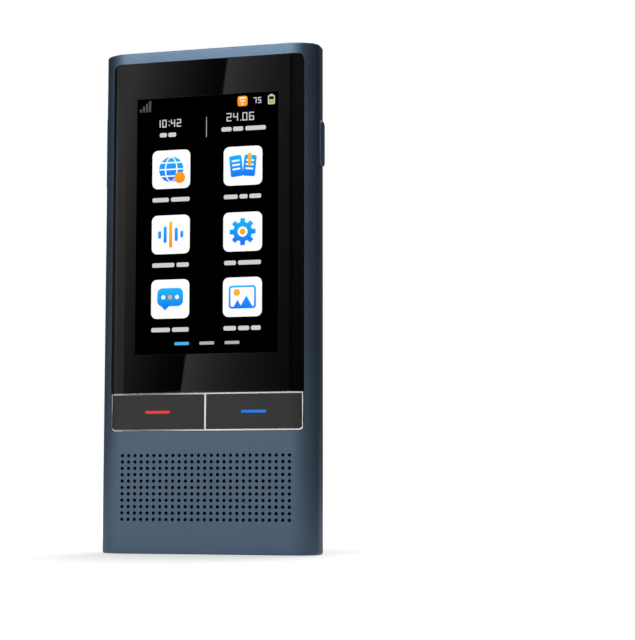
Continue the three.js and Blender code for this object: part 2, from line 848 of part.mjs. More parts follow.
// A talk key: a cap that follows the front of the housing, a plunger for its dome and two barbed legs
function talkKey(side) {
  const centre = side * keyCentre;
  const cap = body.intersect(slab(talkKeyShape(side, fitGap), -overrun, keyCapThickness));
  const plunger = post(plungerRadius, keyCapThickness / 2, plungerEnd, centre, keyMiddle);
  const barbFront = keyFloorBack + travelMargin;
  const legs = keyLegs(centre, 0, keyCapThickness / 2, barbFront + barbThickness);
  const barbs = [-1, 1].map((end) => {
    const inner = centre + (end * legSpread) / 2 - (end * legWidth) / 2;
    const outer = centre + end * (legSpread / 2 + legWidth / 2 + barbReach);
    return block(
      Math.min(inner, outer),
      Math.max(inner, outer),
      barbFront,
      barbFront + barbThickness,
      keyMiddle - legThickness / 2,
      keyMiddle + legThickness / 2,
    );
  });
  const groove = block(
    centre - markWidth / 2 - markGap,
    centre + markWidth / 2 + markGap,
    -overrun,
    markDepth,
    keyMiddle - markHeight / 2 - markGap,
    keyMiddle + markHeight / 2 + markGap,
  );
  return cut(join(cap, plunger, ...legs, ...barbs), groove);
}

function keyMark(side) {
  const centre = side * keyCentre;
  const shape = plateShape(centre - markWidth / 2, centre + markWidth / 2,
    keyMiddle - markHeight / 2, keyMiddle + markHeight / 2, markHeight / 4);
  return slab(shape, 0, markDepth - contactGap);
}

function keyBoard() {
  return block(-faceHalf, faceHalf, keyBoardFront, keyBoardBack, keyBoardBottom, keyBoardTop);
}

// A snap dome: a shallow shell of metal under the plunger
function snapDome(side) {
  const profile = [new THREE.Vector2(0, 0), new THREE.Vector2(domeRadius, 0)];
  for (let i = 1; i <= arcSteps; i += 1) {
    const turn = (i / arcSteps) * quarterTurn;
    profile.push(new THREE.Vector2(domeRadius * Math.cos(turn), domeHeight * Math.sin(turn)));
  }
  profile[profile.length - 1].setX(0);
  const dome = new THREE.LatheGeometry(profile, roundSides);
  dome.rotateX(2 * quarterTurn);
  dome.translate(side * keyCentre, frontY + keyBoardFront - contactGap, keyMiddle);
  return solid(dome);
}

function grilleMesh() {
  const half = ((grilleColumns - 1) / 2) * grilleColumnPitch + grilleHoleRadius + meshMargin;
  const rise = ((grilleRows - 1) / 2) * grilleRowPitch + grilleHoleRadius + meshMargin;
  const sheet = block(-half, half, meshFront, meshBack, grilleMiddle - rise, grilleMiddle + rise);
  return sheet.intersect(hollowWithin(contactGap));
}

function speakerShape(margin) {
  const half = speakerHalf - margin;
  const rise = speakerRise - margin;
  return plateShape(-half, half, grilleMiddle - rise, grilleMiddle + rise, speakerCornerShare * rise);
}

function speakerGasket() {
  const ring = slab(speakerShape(0), speakerGasketFront, speakerGasketBack);
  return cut(ring, slab(speakerShape(speakerGasketWidth), wall, speakerFront));
}

// Loudspeaker: a closed box with a sunk face and a raised oblong diaphragm
function loudspeaker() {
  const recessBack = speakerFront + diaphragmRecess;
  const box = slab(speakerShape(0), speakerFront, speakerBack);
  const recess = slab(speakerShape(speakerGasketWidth), speakerFront - overrun, recessBack);
  const diaphragm = slab(
    speakerShape(speakerGasketWidth + diaphragmRim),
    recessBack - diaphragmHeight,
    recessBack + overrun,
  );
  return join(cut(box, recess), diaphragm);
}

function middleFrame() {
  const plate = block(-frameHalf, frameHalf, frameFront, frameBack, keyBoardBottom, frameTop);
  const holes = [...frameScrewPlaces(), ...boardScrewPlaces()].map(([x, z]) =>
    post(screwRadius + screwClearance, frameFront - overrun, frameBack + overrun, x, z, screwSides),
  );
  const tabs = [-1, 1].map((side) => {
    const [near, far] = [boardHalf + boardLift, boardHalf + boardLift + tabThickness].map((x) => side * x);
    return block(
      Math.min(near, far),
      Math.max(near, far),
      frameFront,
      frameBack + tabHeight,
      sideKeyHeight - tabLength / 2,
      sideKeyHeight + tabLength / 2,
    );
  });
  const notches = [-1, 1].map((side) => {
    const [near, far] = [sideBoardInner - contactGap, frameHalf + overrun].map((x) => side * x);
    const half = volumeLength / 2 + flangeMargin + frameEndGap;
    return block(
      Math.min(near, far),
      Math.max(near, far),
      frameFront - overrun,
      frameBack + overrun,
      sideKeyHeight - half,
      sideKeyHeight + half,
    );
  });
  return cut(join(plate, ...tabs), ...holes, ...notches, displayFlexSlot());
}

// Main board: wide at the top, with ears for two screws and a narrow leg beside the battery
function mainBoard() {
  const top = block(-boardHalf, boardHalf, boardFront, boardBack, boardShoulder, boardTop);
  const legTop = boardShoulder + overrun;
  const leg = block(-boardHalf, boardLegRight, boardFront, boardBack, boardLegBottom, legTop);
  const earHalf = screwX + bossRadius;
  const ears = block(-earHalf, earHalf, boardFront, boardBack, boardTop - boardEarHeight, boardTop);
  const holes = boardScrewPlaces().map(([x, z]) =>
    post(screwRadius + screwClearance, boardFront - overrun, boardBack + overrun, x, z, screwSides),
  );
  return cut(join(top, leg, ears), ...holes);
}

// A shield can: a folded metal lid over one side of the main board, open below, with a window in its roof
function shieldCan(side) {
  const front = boardBack + contactGap;
  const [near, far] = [shieldGap, boardHalf - shieldGap].map((x) => side * x);
  const [left, right] = [Math.min(near, far), Math.max(near, far)];
  const low = boardShoulder + shieldGap;
  const high = cameraHeight - cameraBaseSize / 2 - shieldCameraGap;
  const can = block(left, right, front, front + shieldHeight, low, high);
  const room = block(
    left + shieldWall,
    right - shieldWall,
    front - overrun,
    front + shieldHeight - shieldWall,
    low + shieldWall,
    high - shieldWall,
  );
  const window = block(
    (left + right - shieldWindow) / 2,
    (left + right + shieldWindow) / 2,
    front,
    front + shieldHeight + overrun,
    (low + high - shieldWindow) / 2,
    (low + high + shieldWindow) / 2,
  );
  return cut(can, room, window);
}

// Battery: a soft-cornered cell with its protection board along the top edge
function battery() {
  const middle = batteryFront + batteryThickness / 2;
  const cellTop = batteryTop - batteryBoardHeight;
  const cell = crossPrism(
    sideShape(middle, batteryThickness, batteryBottom, cellTop, batteryRounding),
    batteryLeft,
    batteryRight,
    batteryRounding / 2,
  );
  const strip = block(
    batteryLeft + batteryBoardHeight,
    batteryRight - batteryBoardHeight,
    middle - batteryBoardThickness / 2,
    middle + batteryBoardThickness / 2,
    cellTop - overrun,
    batteryTop,
  );
  return join(cell, strip);
}

// Flat cables lie beside each other, left of the battery
const linkFlexRight = batteryLeft - batteryGap;
const linkFlexLeft = linkFlexRight - flexWidth;
const displayFlexRight = linkFlexLeft - flexSeparation;
const displayFlexLeft = displayFlexRight - flexWidth;
const flexBack = frameBack + contactGap;
const flexOnBoard = boardBack + contactGap;

function displayFlexSlot() {
  return block(
    displayFlexLeft - flexSlotGap,
    displayFlexRight + flexSlotGap,
    frameFront - overrun,
    frameBack + overrun,
    panelBottom - flexTurn - 2 * flexSlotGap,
    panelBottom + flexSlotGap,
  );
}

// The display's cable leaves the back of its lower border, turns through the frame and climbs to the
// board's leg
function displayFlex() {
  const start = panelBack + contactGap + flexThickness;
  const points = [
    [start, panelBottom + flexTurn],
    [start, panelBottom],
    [start + flexThickness, panelBottom - flexTurn / 2],
    [(start + flexBack) / 2, panelBottom - flexTurn],
    [flexBack, panelBottom - flexTurn / 2],
    [flexBack, boardLegBottom - flexTurn],
    [flexOnBoard, boardLegBottom - flexThickness],
    [flexOnBoard, readerBottom - flexThickness],
  ];
  return ribbon(points, displayFlexLeft, displayFlexRight);
}

// The link cable joins the lower board to the main board's leg
function linkFlex() {
  const onLowerBoard = lowerBoardFront - contactGap - flexThickness;
  const points = [
    [onLowerBoard, lowerBoardTop - flexRun],
    [onLowerBoard, lowerBoardTop],
    [flexBack, keyBoardBottom + flexRun],
    [flexBack, boardLegBottom - flexTurn],
    [flexOnBoard, boardLegBottom - flexThickness],
    [flexOnBoard, readerBottom - flexThickness],
  ];
  return ribbon(points, linkFlexLeft, linkFlexRight);
}

function lowerBoard() {
  const plate = block(
    -lowerBoardHalf,
    lowerBoardHalf,
    lowerBoardFront,
    lowerBoardBack,
    lowerBoardBottom,
    lowerBoardTop,
  );
  const holes = lowerScrewPlaces().map(([x, z]) =>
    post(screwRadius + screwClearance, lowerBoardFront - overrun, lowerBoardBack + overrun, x, z, screwSides),
  );
  return cut(plate, ...holes);
}

// Charging socket: an oblong metal shell with its contact tongue
function chargingSocket() {
  const shell = uprightShape(socketShape(0), socketSetback, socketTop);
  const mouth = uprightShape(socketShape(-socketSkin), -overrun, socketTop - socketBackWall);
  const tongue = block(
    -tongueWidth / 2,
    tongueWidth / 2,
    socketDepth - tongueThickness / 2,
    socketDepth + tongueThickness / 2,
    socketSetback + tongueSetback,
    socketTop - socketBackWall / 2,
  );
  return join(cut(shell, mouth), tongue);
}

function vibrationMotor() {
  const x = lowerBoardHalf - motorMargin - motorRadius;
  const back = lowerBoardFront - contactGap;
  return post(motorRadius, back - motorThickness, back, x, grilleMiddle);
}

function microphone(x, depthBack, z) {
  return block(
    x - microphoneWidth / 2,
    x + microphoneWidth / 2,
    depthBack - microphoneThickness,
    depthBack,
    z - microphoneHeight / 2,
    z + microphoneHeight / 2,
  );
}

function bottomMicrophone() {
  const z = lowerBoardBottom + microphoneHeight / 2;
  return microphone(-microphonePlace, lowerBoardFront - contactGap, z);
}

function topMicrophone() {
  const back = boardBack + contactGap + microphoneThickness;
  return microphone(microphonePlace, back, boardTop - microphoneHeight / 2);
}

// The outer cap of a side key, as a right-hand key; the left one is mirrored when it is placed
function sideKeyCap(length, innerX) {
  return crossPrism(keyShape(length, 0), innerX, halfWidth + sideKeyProud, sideKeyChamfer);
}

function sideKeyFlange(length, innerX, outerX) {
  const half = sideKeyWidth / 2 + flangeMargin;
  const rise = length / 2 + flangeMargin;
  const plate = block(
    innerX,
    outerX,
    sideKeyDepth - half,
    sideKeyDepth + half,
    sideKeyHeight - rise,
    sideKeyHeight + rise,
  );
  return plate.intersect(hollowWithin(innerHalf - outerX));
}

function powerButton() {
  const cap = sideKeyCap(powerLength, powerFlangeInner);
  const flange = sideKeyFlange(powerLength, powerFlangeInner, powerFlangeOuter);
  const plunger = crossBar(sidePlungerRadius, powerPlungerEnd, powerFlangeOuter, sideKeyDepth, sideKeyHeight);
  return join(cap, flange, plunger);
}

// Volume rocker: one key over two switches, tilting on a nub at its middle
function volumeRocker() {
  const cap = sideKeyCap(volumeLength, volumeFlangeInner);
  const flange = sideKeyFlange(volumeLength, volumeFlangeInner, volumeFlangeOuter);
  const plungers = [-1, 1].map((end) => {
    const z = sideKeyHeight + (end * volumeSwitchSpread) / 2;
    return crossBar(sidePlungerRadius, volumePlungerEnd, volumeFlangeOuter, sideKeyDepth, z);
  });
  const nub = crossPrism(
    sideShape(
      sideKeyDepth,
      pivotNubWidth,
      sideKeyHeight - pivotNubHeight / 2,
      sideKeyHeight + pivotNubHeight / 2,
      pivotNubHeight / 4,
    ),
    sideBoardOuter + travelMargin,
    volumeFlangeOuter,
  );
  return mirrored(join(cap, flange, ...plungers, nub));
}

// The same solid on the other side of the middle
function mirrored(right) {
  return right.mirror([1, 0, 0]);
}

function sideBoard(length) {
  const half = length / 2;
  const width = switchSize + sideBoardMargin;
  return block(
    sideBoardInner,
    sideBoardOuter,
    sideKeyDepth - width / 2,
    sideKeyDepth + width / 2,
    sideKeyHeight - half,
    sideKeyHeight + half,
  );
}

function sideSwitch(z) {
  const half = switchSize / 2;
  const base = sideBoardOuter + contactGap;
  const capBase = base + switchHeight - switchCapHeight;
  const box = block(base, capBase, sideKeyDepth - half, sideKeyDepth + half, z - half, z + half);
  return join(box, crossBar(switchCapRadius, base, switchOuter, sideKeyDepth, z));
}

// Card tray: an end plate flush with the side, with the eject pin hole, and a carrier with a card pocket
function cardTray() {
  const outline = sideShape(trayDepth, trayPlateWidth, trayPlateBottom, trayPlateTop, trayPlateRadius);
  const plate = body.intersect(crossPrism(outline, -halfWidth - overrun, -halfWidth + trayPlateThickness));
  const front = trayDepth - trayThickness / 2;
  const back = trayDepth + trayThickness / 2;
  const carrier = block(-halfWidth + trayPlateThickness / 2, trayInnerX, front, back, trayBottom, trayTop);
  const margin = (trayWidth - cardWidth) / 2;
  const pocket = block(
    trayInnerX - margin - cardLength,
    trayInnerX - margin,
    back - cardThickness,
    back + overrun,
    trayBottom + margin,
    trayTop - margin,
  );
  const pinHole = crossBar(
    pinHoleRadius,
    -halfWidth - overrun,
    -halfWidth + trayPlateThickness + overrun,
    trayDepth,
    pinHoleHeight,
    roundSides / 2,
  );
  return cut(join(plate, carrier), pocket, pinHole);
}

// Card reader: a thin metal cage round the tray, with a channel for the eject pin
function cardReader() {
  const mouth = -innerHalf + readerWallGap;
  const cage = block(mouth, readerInnerX, readerFront, readerBack, readerBottom, readerTop);
  const slot = block(
    mouth - overrun,
    trayInnerX + trayGap,
    trayDepth - trayThickness / 2 - trayGap,
    trayDepth + trayThickness / 2 + trayGap,
    trayBottom - trayGap,
    trayTop + trayGap,
  );
  const channel = crossBar(
    pinHoleRadius,
    mouth - overrun,
    trayInnerX,
    trayDepth,
    pinHoleHeight,
    roundSides / 2,
  );
  return cut(cage, slot, channel);
}

// A window outline behind, inset from the bezel's outline
function bezelShape(margin) {
  const half = bezelWidth / 2 - margin;
  return plateShape(-half, half, bezelBottom + margin, bezelTop - margin, bezelRadius - margin);
}

// Bright bezel round the camera window, with a softened outer edge
function cameraBezel() {
  const top = bodyDepth + bezelProud;
  const ring = slab(bezelShape(0), cameraPocketFloor + contactGap, top - bezelRounding);
  const crest = slab(bezelShape(bezelRounding), cameraPocketFloor + bezelRounding, top);
  const opening = slab(bezelShape(bezelLine), cameraPocketFloor - overrun, top + overrun);
  return cut(join(ring, crest), opening);
}

function cameraGlass() {
  const back = bodyDepth + bezelProud - cameraGlassSink;
  return slab(bezelShape(bezelLine + fitGap / 2), back - cameraGlassThickness, back);
}

// Camera module: a square base with a round barrel, hollow at its end for the lens
function cameraModule() {
  const front = boardBack + contactGap;
  const half = cameraBaseSize / 2;
  const base = block(-half, half, front, front + cameraBaseHeight, cameraHeight - half, cameraHeight + half);
  const barrel = post(barrelRadius, front + cameraBaseHeight / 2, barrelEnd, 0, cameraHeight);
  const seat = barrelEnd - lensSink - lensThickness - contactGap;
  const bore = post(barrelRadius - barrelWall, seat, barrelEnd + overrun, 0, cameraHeight);
  return cut(join(base, barrel), bore);
}

// Front lens element, domed outwards
function cameraLens() {
  const radius = barrelRadius - barrelWall - fitGap;
  const rim = lensThickness - lensCrown;
  const profile = [new THREE.Vector2(0, 0), new THREE.Vector2(radius, 0), new THREE.Vector2(radius, rim)];
  for (let i = 1; i <= arcSteps; i += 1) {
    const turn = (i / arcSteps) * quarterTurn;
    profile.push(new THREE.Vector2(radius * Math.cos(turn), rim + lensCrown * Math.sin(turn)));
  }
  profile[profile.length - 1].setX(0);
  const lens = new THREE.LatheGeometry(profile, roundSides);
  lens.translate(0, frontY + barrelEnd - lensSink - lensThickness, cameraHeight);
  return solid(lens);
}

// Flash lens: a clear button in the back with a light guide down to its lamp on the board
function flashLens() {
  const ledBack = boardBack + contactGap + flashLedHeight;
  const flangeBack = bodyDepth - wall - contactGap;
  const flangeFront = flangeBack - flashFlangeThickness;
  const round = (radius, near, far) => post(radius, near, far, flashOffset, cameraHeight);
  return join(
    round(flashRadius, flangeFront + flashFlangeThickness / 2, bodyDepth),
    round(flashFlangeRadius, flangeFront, flangeBack),
    round(flashStemRadius, ledBack + flashLedGap, flangeBack),
  );
}

function flashLamp() {
  const half = flashLedSize / 2;
  const front = boardBack + contactGap;
  return block(
    flashOffset - half,
    flashOffset + half,
    front,
    front + flashLedHeight,
    cameraHeight - half,
    cameraHeight + half,
  );
}

// Aerial carrier: an angle of moulded plastic at the top of the board, which carries the printed aerial
function aerialCarrier() {
  const left = -boardHalf + aerialSideMargin;
  const right = microphonePlace - aerialMicrophoneGap;
  const front = boardBack + contactGap;
  const back = seamDepth - lipDepth - aerialLipGap;
  const outer = block(left, right, front, back, boardTop - aerialHeight, boardTop);
  const room = block(
    left + aerialWall,
    right - aerialWall,
    front + aerialWall,
    back + overrun,
    boardTop - aerialHeight - overrun,
    boardTop - aerialWall,
  );
  return cut(outer, room);
}

// A pan-head screw driven forwards from its seat
function screw(x, z, seat, bite) {
  const base = seat + contactGap;
  const head = post(screwHeadRadius, base, base + screwHeadHeight, x, z, screwSides);
  const shank = post(screwRadius, seat - bite, base + screwHeadHeight / 2, x, z, screwSides);
  return join(head, shank);
}

// The assembly
const paints = {
  bodyPaint: { color: 0x5f7590, roughness: 0.38, metalness: 0.55 },
  blackGlass: { color: 0x0a0a0b, roughness: 0.05, metalness: 0 },
  brightMetal: { color: 0xd9dbde, roughness: 0.2, metalness: 1 },
  keyPlastic: { color: 0x3a3a3a, roughness: 0.35, metalness: 0 },
  redMark: { color: 0xff3c3c, roughness: 0.4, metalness: 0 },
  blueMark: { color: 0x1582e9, roughness: 0.4, metalness: 0 },
  screen: { color: 0x050506, roughness: 0.15, metalness: 0 },
  foam: { color: 0x1c1c1e, roughness: 0.9, metalness: 0 },
  frameMetal: { color: 0xa9adb0, roughness: 0.35, metalness: 1 },
  boardGreen: { color: 0x1f5a3a, roughness: 0.5, metalness: 0.1 },
  cell: { color: 0x2b2f36, roughness: 0.5, metalness: 0.1 },
  moulded: { color: 0x222326, roughness: 0.55, metalness: 0 },
  copperFlex: { color: 0xb06a2c, roughness: 0.4, metalness: 0.2 },
  meshCloth: { color: 0x0c0c0d, roughness: 0.8, metalness: 0 },
  clear: { color: 0xf2ecc8, roughness: 0.1, metalness: 0 },
  lamp: { color: 0xf3e37a, roughness: 0.5, metalness: 0 },
  lensBlue: { color: 0x1b1f4a, roughness: 0.05, metalness: 0 },
};

const translator = new THREE.Group();

function place(name, piece, paint) {
  const mesh = piece.getMesh();
  const geometry = new THREE.BufferGeometry();
  const corners = new Float32Array(mesh.vertProperties);
  geometry.setAttribute("position", new THREE.BufferAttribute(corners, mesh.numProp));
  geometry.setIndex(new THREE.BufferAttribute(new Uint32Array(mesh.triVerts), 1));
  geometry.computeVertexNormals();
  const part = new THREE.Mesh(geometry, new THREE.MeshStandardMaterial(paints[paint]));
  part.name = name;
  translator.add(part);
}

place("front_shell", frontShell(), "bodyPaint");
place("rear_cover", rearCover(), "bodyPaint");
place("cover_glass", coverGlass(), "blackGlass");
place("glass_gasket", glassGasket(), "foam");
place("display_panel", displayPanel(), "screen");
place("display_cushion", displayCushion(), "foam");
place("display_flex", displayFlex(), "copperFlex");
place("key_trim", keyTrim(), "brightMetal");
place("left_key", talkKey(-1), "keyPlastic");
place("right_key", talkKey(1), "keyPlastic");
place("left_key_mark", keyMark(-1), "redMark");
place("right_key_mark", keyMark(1), "blueMark");
place("key_board", keyBoard(), "boardGreen");
place("left_key_dome", snapDome(-1), "brightMetal");
place("right_key_dome", snapDome(1), "brightMetal");
place("grille_mesh", grilleMesh(), "meshCloth");
place("speaker_gasket", speakerGasket(), "foam");
place("loudspeaker", loudspeaker(), "moulded");
place("middle_frame", middleFrame(), "frameMetal");
place("main_board", mainBoard(), "boardGreen");
place("radio_shield", shieldCan(-1), "frameMetal");
place("processor_shield", shieldCan(1), "frameMetal");
place("battery", battery(), "cell");
place("lower_board", lowerBoard(), "boardGreen");
place("link_flex", linkFlex(), "copperFlex");
place("charging_socket", chargingSocket(), "frameMetal");
place("vibration_motor", vibrationMotor(), "frameMetal");
place("bottom_microphone", bottomMicrophone(), "frameMetal");
place("top_microphone", topMicrophone(), "frameMetal");
place("power_button", powerButton(), "bodyPaint");
place("power_switch_board", sideBoard(tabLength), "boardGreen");
place("power_switch", sideSwitch(sideKeyHeight), "moulded");
place("volume_rocker", volumeRocker(), "bodyPaint");
const volumeBoardLength = volumeSwitchSpread + switchSize + sideBoardMargin;
place("volume_switch_board", mirrored(sideBoard(volumeBoardLength)), "boardGreen");
place("volume_up_switch", mirrored(sideSwitch(sideKeyHeight + volumeSwitchSpread / 2)), "moulded");
place("volume_down_switch", mirrored(sideSwitch(sideKeyHeight - volumeSwitchSpread / 2)), "moulded");
place("card_tray", cardTray(), "bodyPaint");
place("card_reader", cardReader(), "frameMetal");
place("camera_bezel", cameraBezel(), "brightMetal");
place("camera_glass", cameraGlass(), "blackGlass");
place("camera_module", cameraModule(), "moulded");
place("camera_lens", cameraLens(), "lensBlue");
place("flash_lens", flashLens(), "clear");
place("flash_lamp", flashLamp(), "lamp");
place("aerial_carrier", aerialCarrier(), "moulded");
frameScrewPlaces().forEach(([x, z], i) => {
  place(`frame_screw_${i + 1}`, screw(x, z, frameBack, frameThickness + screwBite), "frameMetal");
});
boardScrewPlaces().forEach(([x, z], i) => {
  const bite = boardBack - frameFront + screwBite;
  place(`board_screw_${i + 1}`, screw(x, z, boardBack, bite), "frameMetal");
});
lowerScrewPlaces().forEach(([x, z], i) => {
  const bite = lowerBoardThickness + lowerScrewBite;
  place(`lower_screw_${i + 1}`, screw(x, z, lowerBoardBack, bite), "frameMetal");
});

export default translator;
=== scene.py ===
import math

import bmesh
import bpy
from mathutils import Matrix, Vector


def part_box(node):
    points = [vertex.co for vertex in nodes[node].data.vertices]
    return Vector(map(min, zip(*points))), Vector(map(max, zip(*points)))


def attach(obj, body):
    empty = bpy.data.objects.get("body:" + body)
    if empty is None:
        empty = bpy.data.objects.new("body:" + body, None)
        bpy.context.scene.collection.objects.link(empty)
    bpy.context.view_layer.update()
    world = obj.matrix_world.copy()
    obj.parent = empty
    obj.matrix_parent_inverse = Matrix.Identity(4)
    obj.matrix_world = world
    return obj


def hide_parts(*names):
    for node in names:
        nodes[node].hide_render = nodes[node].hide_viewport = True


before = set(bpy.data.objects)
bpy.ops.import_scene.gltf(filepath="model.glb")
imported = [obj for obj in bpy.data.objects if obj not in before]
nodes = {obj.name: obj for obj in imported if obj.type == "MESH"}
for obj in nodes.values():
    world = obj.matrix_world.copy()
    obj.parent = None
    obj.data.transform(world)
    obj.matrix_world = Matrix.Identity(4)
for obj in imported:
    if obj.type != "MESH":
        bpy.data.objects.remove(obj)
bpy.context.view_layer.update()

MM = 0.001
scene = bpy.context.scene
scene.view_settings.view_transform = "Standard"

# Camera
# A long lens stands a little above the table, turned to the left and tilted up, so that the
# device takes the left half of the picture.
camera_place = Vector((141.95, -419.5, 18.38)) * MM
camera_tilt, camera_turn = math.radians(5.547), 0.2648
camera_data = bpy.data.cameras.new("camera")
camera_data.lens = 94.33
camera_data.sensor_width = 36
camera_data.clip_start = 0.01
camera = bpy.data.objects.new("camera", camera_data)
camera.location = camera_place
camera.rotation_euler = (math.pi / 2 + camera_tilt, 0, camera_turn)
scene.collection.objects.link(camera)
scene.camera = camera

# Front tub
# The housing is one moulded tub, open behind, with a satin metallic lacquer: the round front
# shoulders, both sides, the two ends and the field of speaker holes are all in it.
housing_height, housing_half, housing_depth = 133.0, 29.6, 14.5
front_y = -7.375
shoulder_width, shoulder_depth = 6.9, 4.3
side_end_depth = 6.8
seam_half, seam_depth, seam_gap = 26.55, 11.32, 0.25
back_flat_half = 11.9
end_rounding = 0.6
wall, end_wall = 1.3, 1.5
opening_half = 25.35
face_half, face_land = 26.35, 1.0
glass_bottom, glass_top, glass_seat, glass_land = 41.8, 129.9, 1.25, 2.25
glass_foot_radius, glass_top_radius = 0.3, 1.5
fit_gap, corner_ease = 0.12, 0.1
key_bottom, key_seat, key_shelf = 31.8, 1.9, 2.5
trim_radius, trim_top_radius = 1.2, 0.1
picture_half, picture_bottom, picture_top = 19.6, 51.8, 120.2
window_side, window_foot = 2.2, 4.6
grille_columns, grille_rows = 27, 11
grille_pitch_x, grille_pitch_z, grille_middle = 1.752, 1.655, 17.195
grille_radius, grille_sides, grille_over = 0.465, 14, 0.8
side_key_z, side_key_depth, side_key_gap = 106.9, 6.3, 0.15
side_key_width, side_key_radius = 4.0, 1.5
power_length, volume_length = 12.0, 21.0
side_opening_reach = 3.0
tray_low, tray_high, tray_plate_width, tray_depth = 62.0, 78.5, 3.0, 6.42
socket_half, socket_rise, socket_depth = 4.47, 1.6, 6.5
microphone_x, microphone_radius, microphone_over = 14.0, 0.5, 0.5
talk_key_x, talk_key_z = 13.11, 36.74
plunger_hole, leg_spread, leg_hole_width, leg_hole_height = 1.6, 16.0, 2.9, 2.1
shelf_span = 1.0, 3.5
boss_front = 0.5
boss_places = [(x, z, 1.5, 3.97) for z in (46.0, 90.0, 126.8) for x in (-25.4, 25.4)]
boss_places += [(x, z, 1.6, 8.1) for z in (4.6, 28.8) for x in (-21.5, 21.5)]
pilot_radius, pilot_length = 0.66, 1.6
curve_steps = 18
over = 1.0  # how far a cutting form reaches past what it cuts
hair = 0.01  # how far a point may lie from a face and still count as on it
sharp_angle, soften_angle, soften_segments = math.radians(35), math.radians(50), 2


def section_outline(margin):
    """The housing's cross-section in x and depth, anticlockwise, moved inwards by a margin."""
    right = []
    for i in range(curve_steps + 1):
        turn = math.pi / 2 * i / curve_steps
        x = housing_half - shoulder_width * (1 - math.sin(turn))
        right.append(Vector((x, shoulder_depth * (1 - math.cos(turn)))))
    drop = housing_depth - seam_depth
    slope = 2 * drop / (seam_half - back_flat_half)
    start = Vector((housing_half, side_end_depth))
    elbow = Vector((housing_half, seam_depth - slope * (housing_half - seam_half)))
    end = Vector((seam_half, seam_depth))
    for i in range(curve_steps + 1):
        t = i / curve_steps
        right.append(start * (1 - t) ** 2 + elbow * 2 * t * (1 - t) + end * t ** 2)
    for i in range(1, curve_steps + 1):
        t = 1 - i / curve_steps
        x = back_flat_half + (seam_half - back_flat_half) * t
        right.append(Vector((x, housing_depth - drop * t ** 2)))
    points = right + [Vector((-p.x, p.y)) for p in reversed(right)]
    moved = []
    for i, p in enumerate(points):
        a = (p - points[i - 1]).normalized()
        b = (points[(i + 1) % len(points)] - p).normalized()
        a, b = Vector((-a.y, a.x)), Vector((-b.y, b.x))
        moved.append(p + (a + b) / (1 + a.dot(b)) * margin)
    return moved


def rounded(form, edges, radius, segments=4):
    """Rounds the chosen edges of a form."""
    bmesh.ops.bevel(
        form, geom=list(edges), offset=radius * MM, affect="EDGES",
        segments=segments, profile=0.5, material=-1,
    )
    return form


def housing_form(margin=0.0, end_margin=0.0, rounding=0.0):
    """The housing's whole form, less a margin all round and another at both ends."""
    form = bmesh.new()
    foot = form.faces.new([
        form.verts.new(Vector((p.x, p.y + front_y, end_margin)) * MM) for p in section_outline(margin)
    ])
    grown = bmesh.ops.extrude_face_region(form, geom=[foot])["geom"]
    lifted = [v for v in grown if isinstance(v, bmesh.types.BMVert)]
    bmesh.ops.translate(form, verts=lifted, vec=(0, 0, (housing_height - 2 * end_margin) * MM))
    bmesh.ops.recalc_face_normals(form, faces=form.faces)
    if rounding:
        rims = [e for e in form.edges if abs(e.verts[0].co.z - e.verts[1].co.z) < 1e-7]
        rounded(form, rims, rounding)
    return form


def around(middle, length):
    """The two ends of a length about its middle."""
    return middle - length / 2, middle + length / 2


def box_form(across, depths, heights):
    """A box from its ends in x, depth and height; a single number in x is half its width."""
    if not isinstance(across, tuple):
        across = (-across, across)
    low, high = (Vector(corner) for corner in zip(across, depths, heights))
    form = bmesh.new()
    bmesh.ops.create_cube(form, size=1)
    bmesh.ops.scale(form, verts=form.verts, vec=(high - low) * MM)
    middle = (low + high) / 2 + Vector((0, front_y, 0))
    bmesh.ops.translate(form, verts=form.verts, vec=middle * MM)
    return form


def rounded_box(across, depths, heights, axis, radius, top_radius=None, segments=6):
    """A box with its four edges along one axis rounded; the upper ones may have their own radius."""
    form = box_form(across, depths, heights)
    i = "XYZ".index(axis)
    middle = sum(heights) / 2 * MM
    for above in (False,) if axis == "Z" else (False, True):
        along = [
            e for e in form.edges
            if abs((e.verts[0].co - e.verts[1].co).normalized()[i]) > 0.999
            and (axis == "Z" or (e.verts[0].co.z > middle) == above)
        ]
        rounded(form, along, top_radius if above and top_radius is not None else radius, segments)
    return form


def round_post(radius, x, z, near, far, far_radius=None, sides=24):
    """A round post, or a cone, along the depth."""
    form = bmesh.new()
    bmesh.ops.create_cone(
        form, cap_ends=True, segments=sides, depth=(far - near) * MM,
        radius1=radius * MM, radius2=(radius if far_radius is None else far_radius) * MM,
        matrix=Matrix.Rotation(-math.pi / 2, 4, "X"),
    )
    place = Vector((x, front_y + (near + far) / 2, z)) * MM
    bmesh.ops.translate(form, verts=form.verts, vec=place)
    return form


def turned_post(radius, low, high, axis, place):
    """A round post along x or z, from low to high beside a place (x, depth, z)."""
    form = round_post(radius, 0, 0, low - front_y, high - front_y)
    turn = Matrix.Rotation(math.pi / 2, 4, "X") if axis == "Z" else Matrix.Rotation(-math.pi / 2, 4, "Z")
    bmesh.ops.transform(form, matrix=turn, verts=form.verts)
    place = Vector((place[0], place[1] + front_y, place[2])) * MM
    bmesh.ops.translate(form, verts=form.verts, vec=place)
    return form


def together(forms):
    """Several separate forms as one."""
    whole = bmesh.new()
    for form in forms:
        mesh = bpy.data.meshes.new("loose")
        form.to_mesh(mesh)
        form.free()
        whole.from_mesh(mesh)
        bpy.data.meshes.remove(mesh)
    return whole


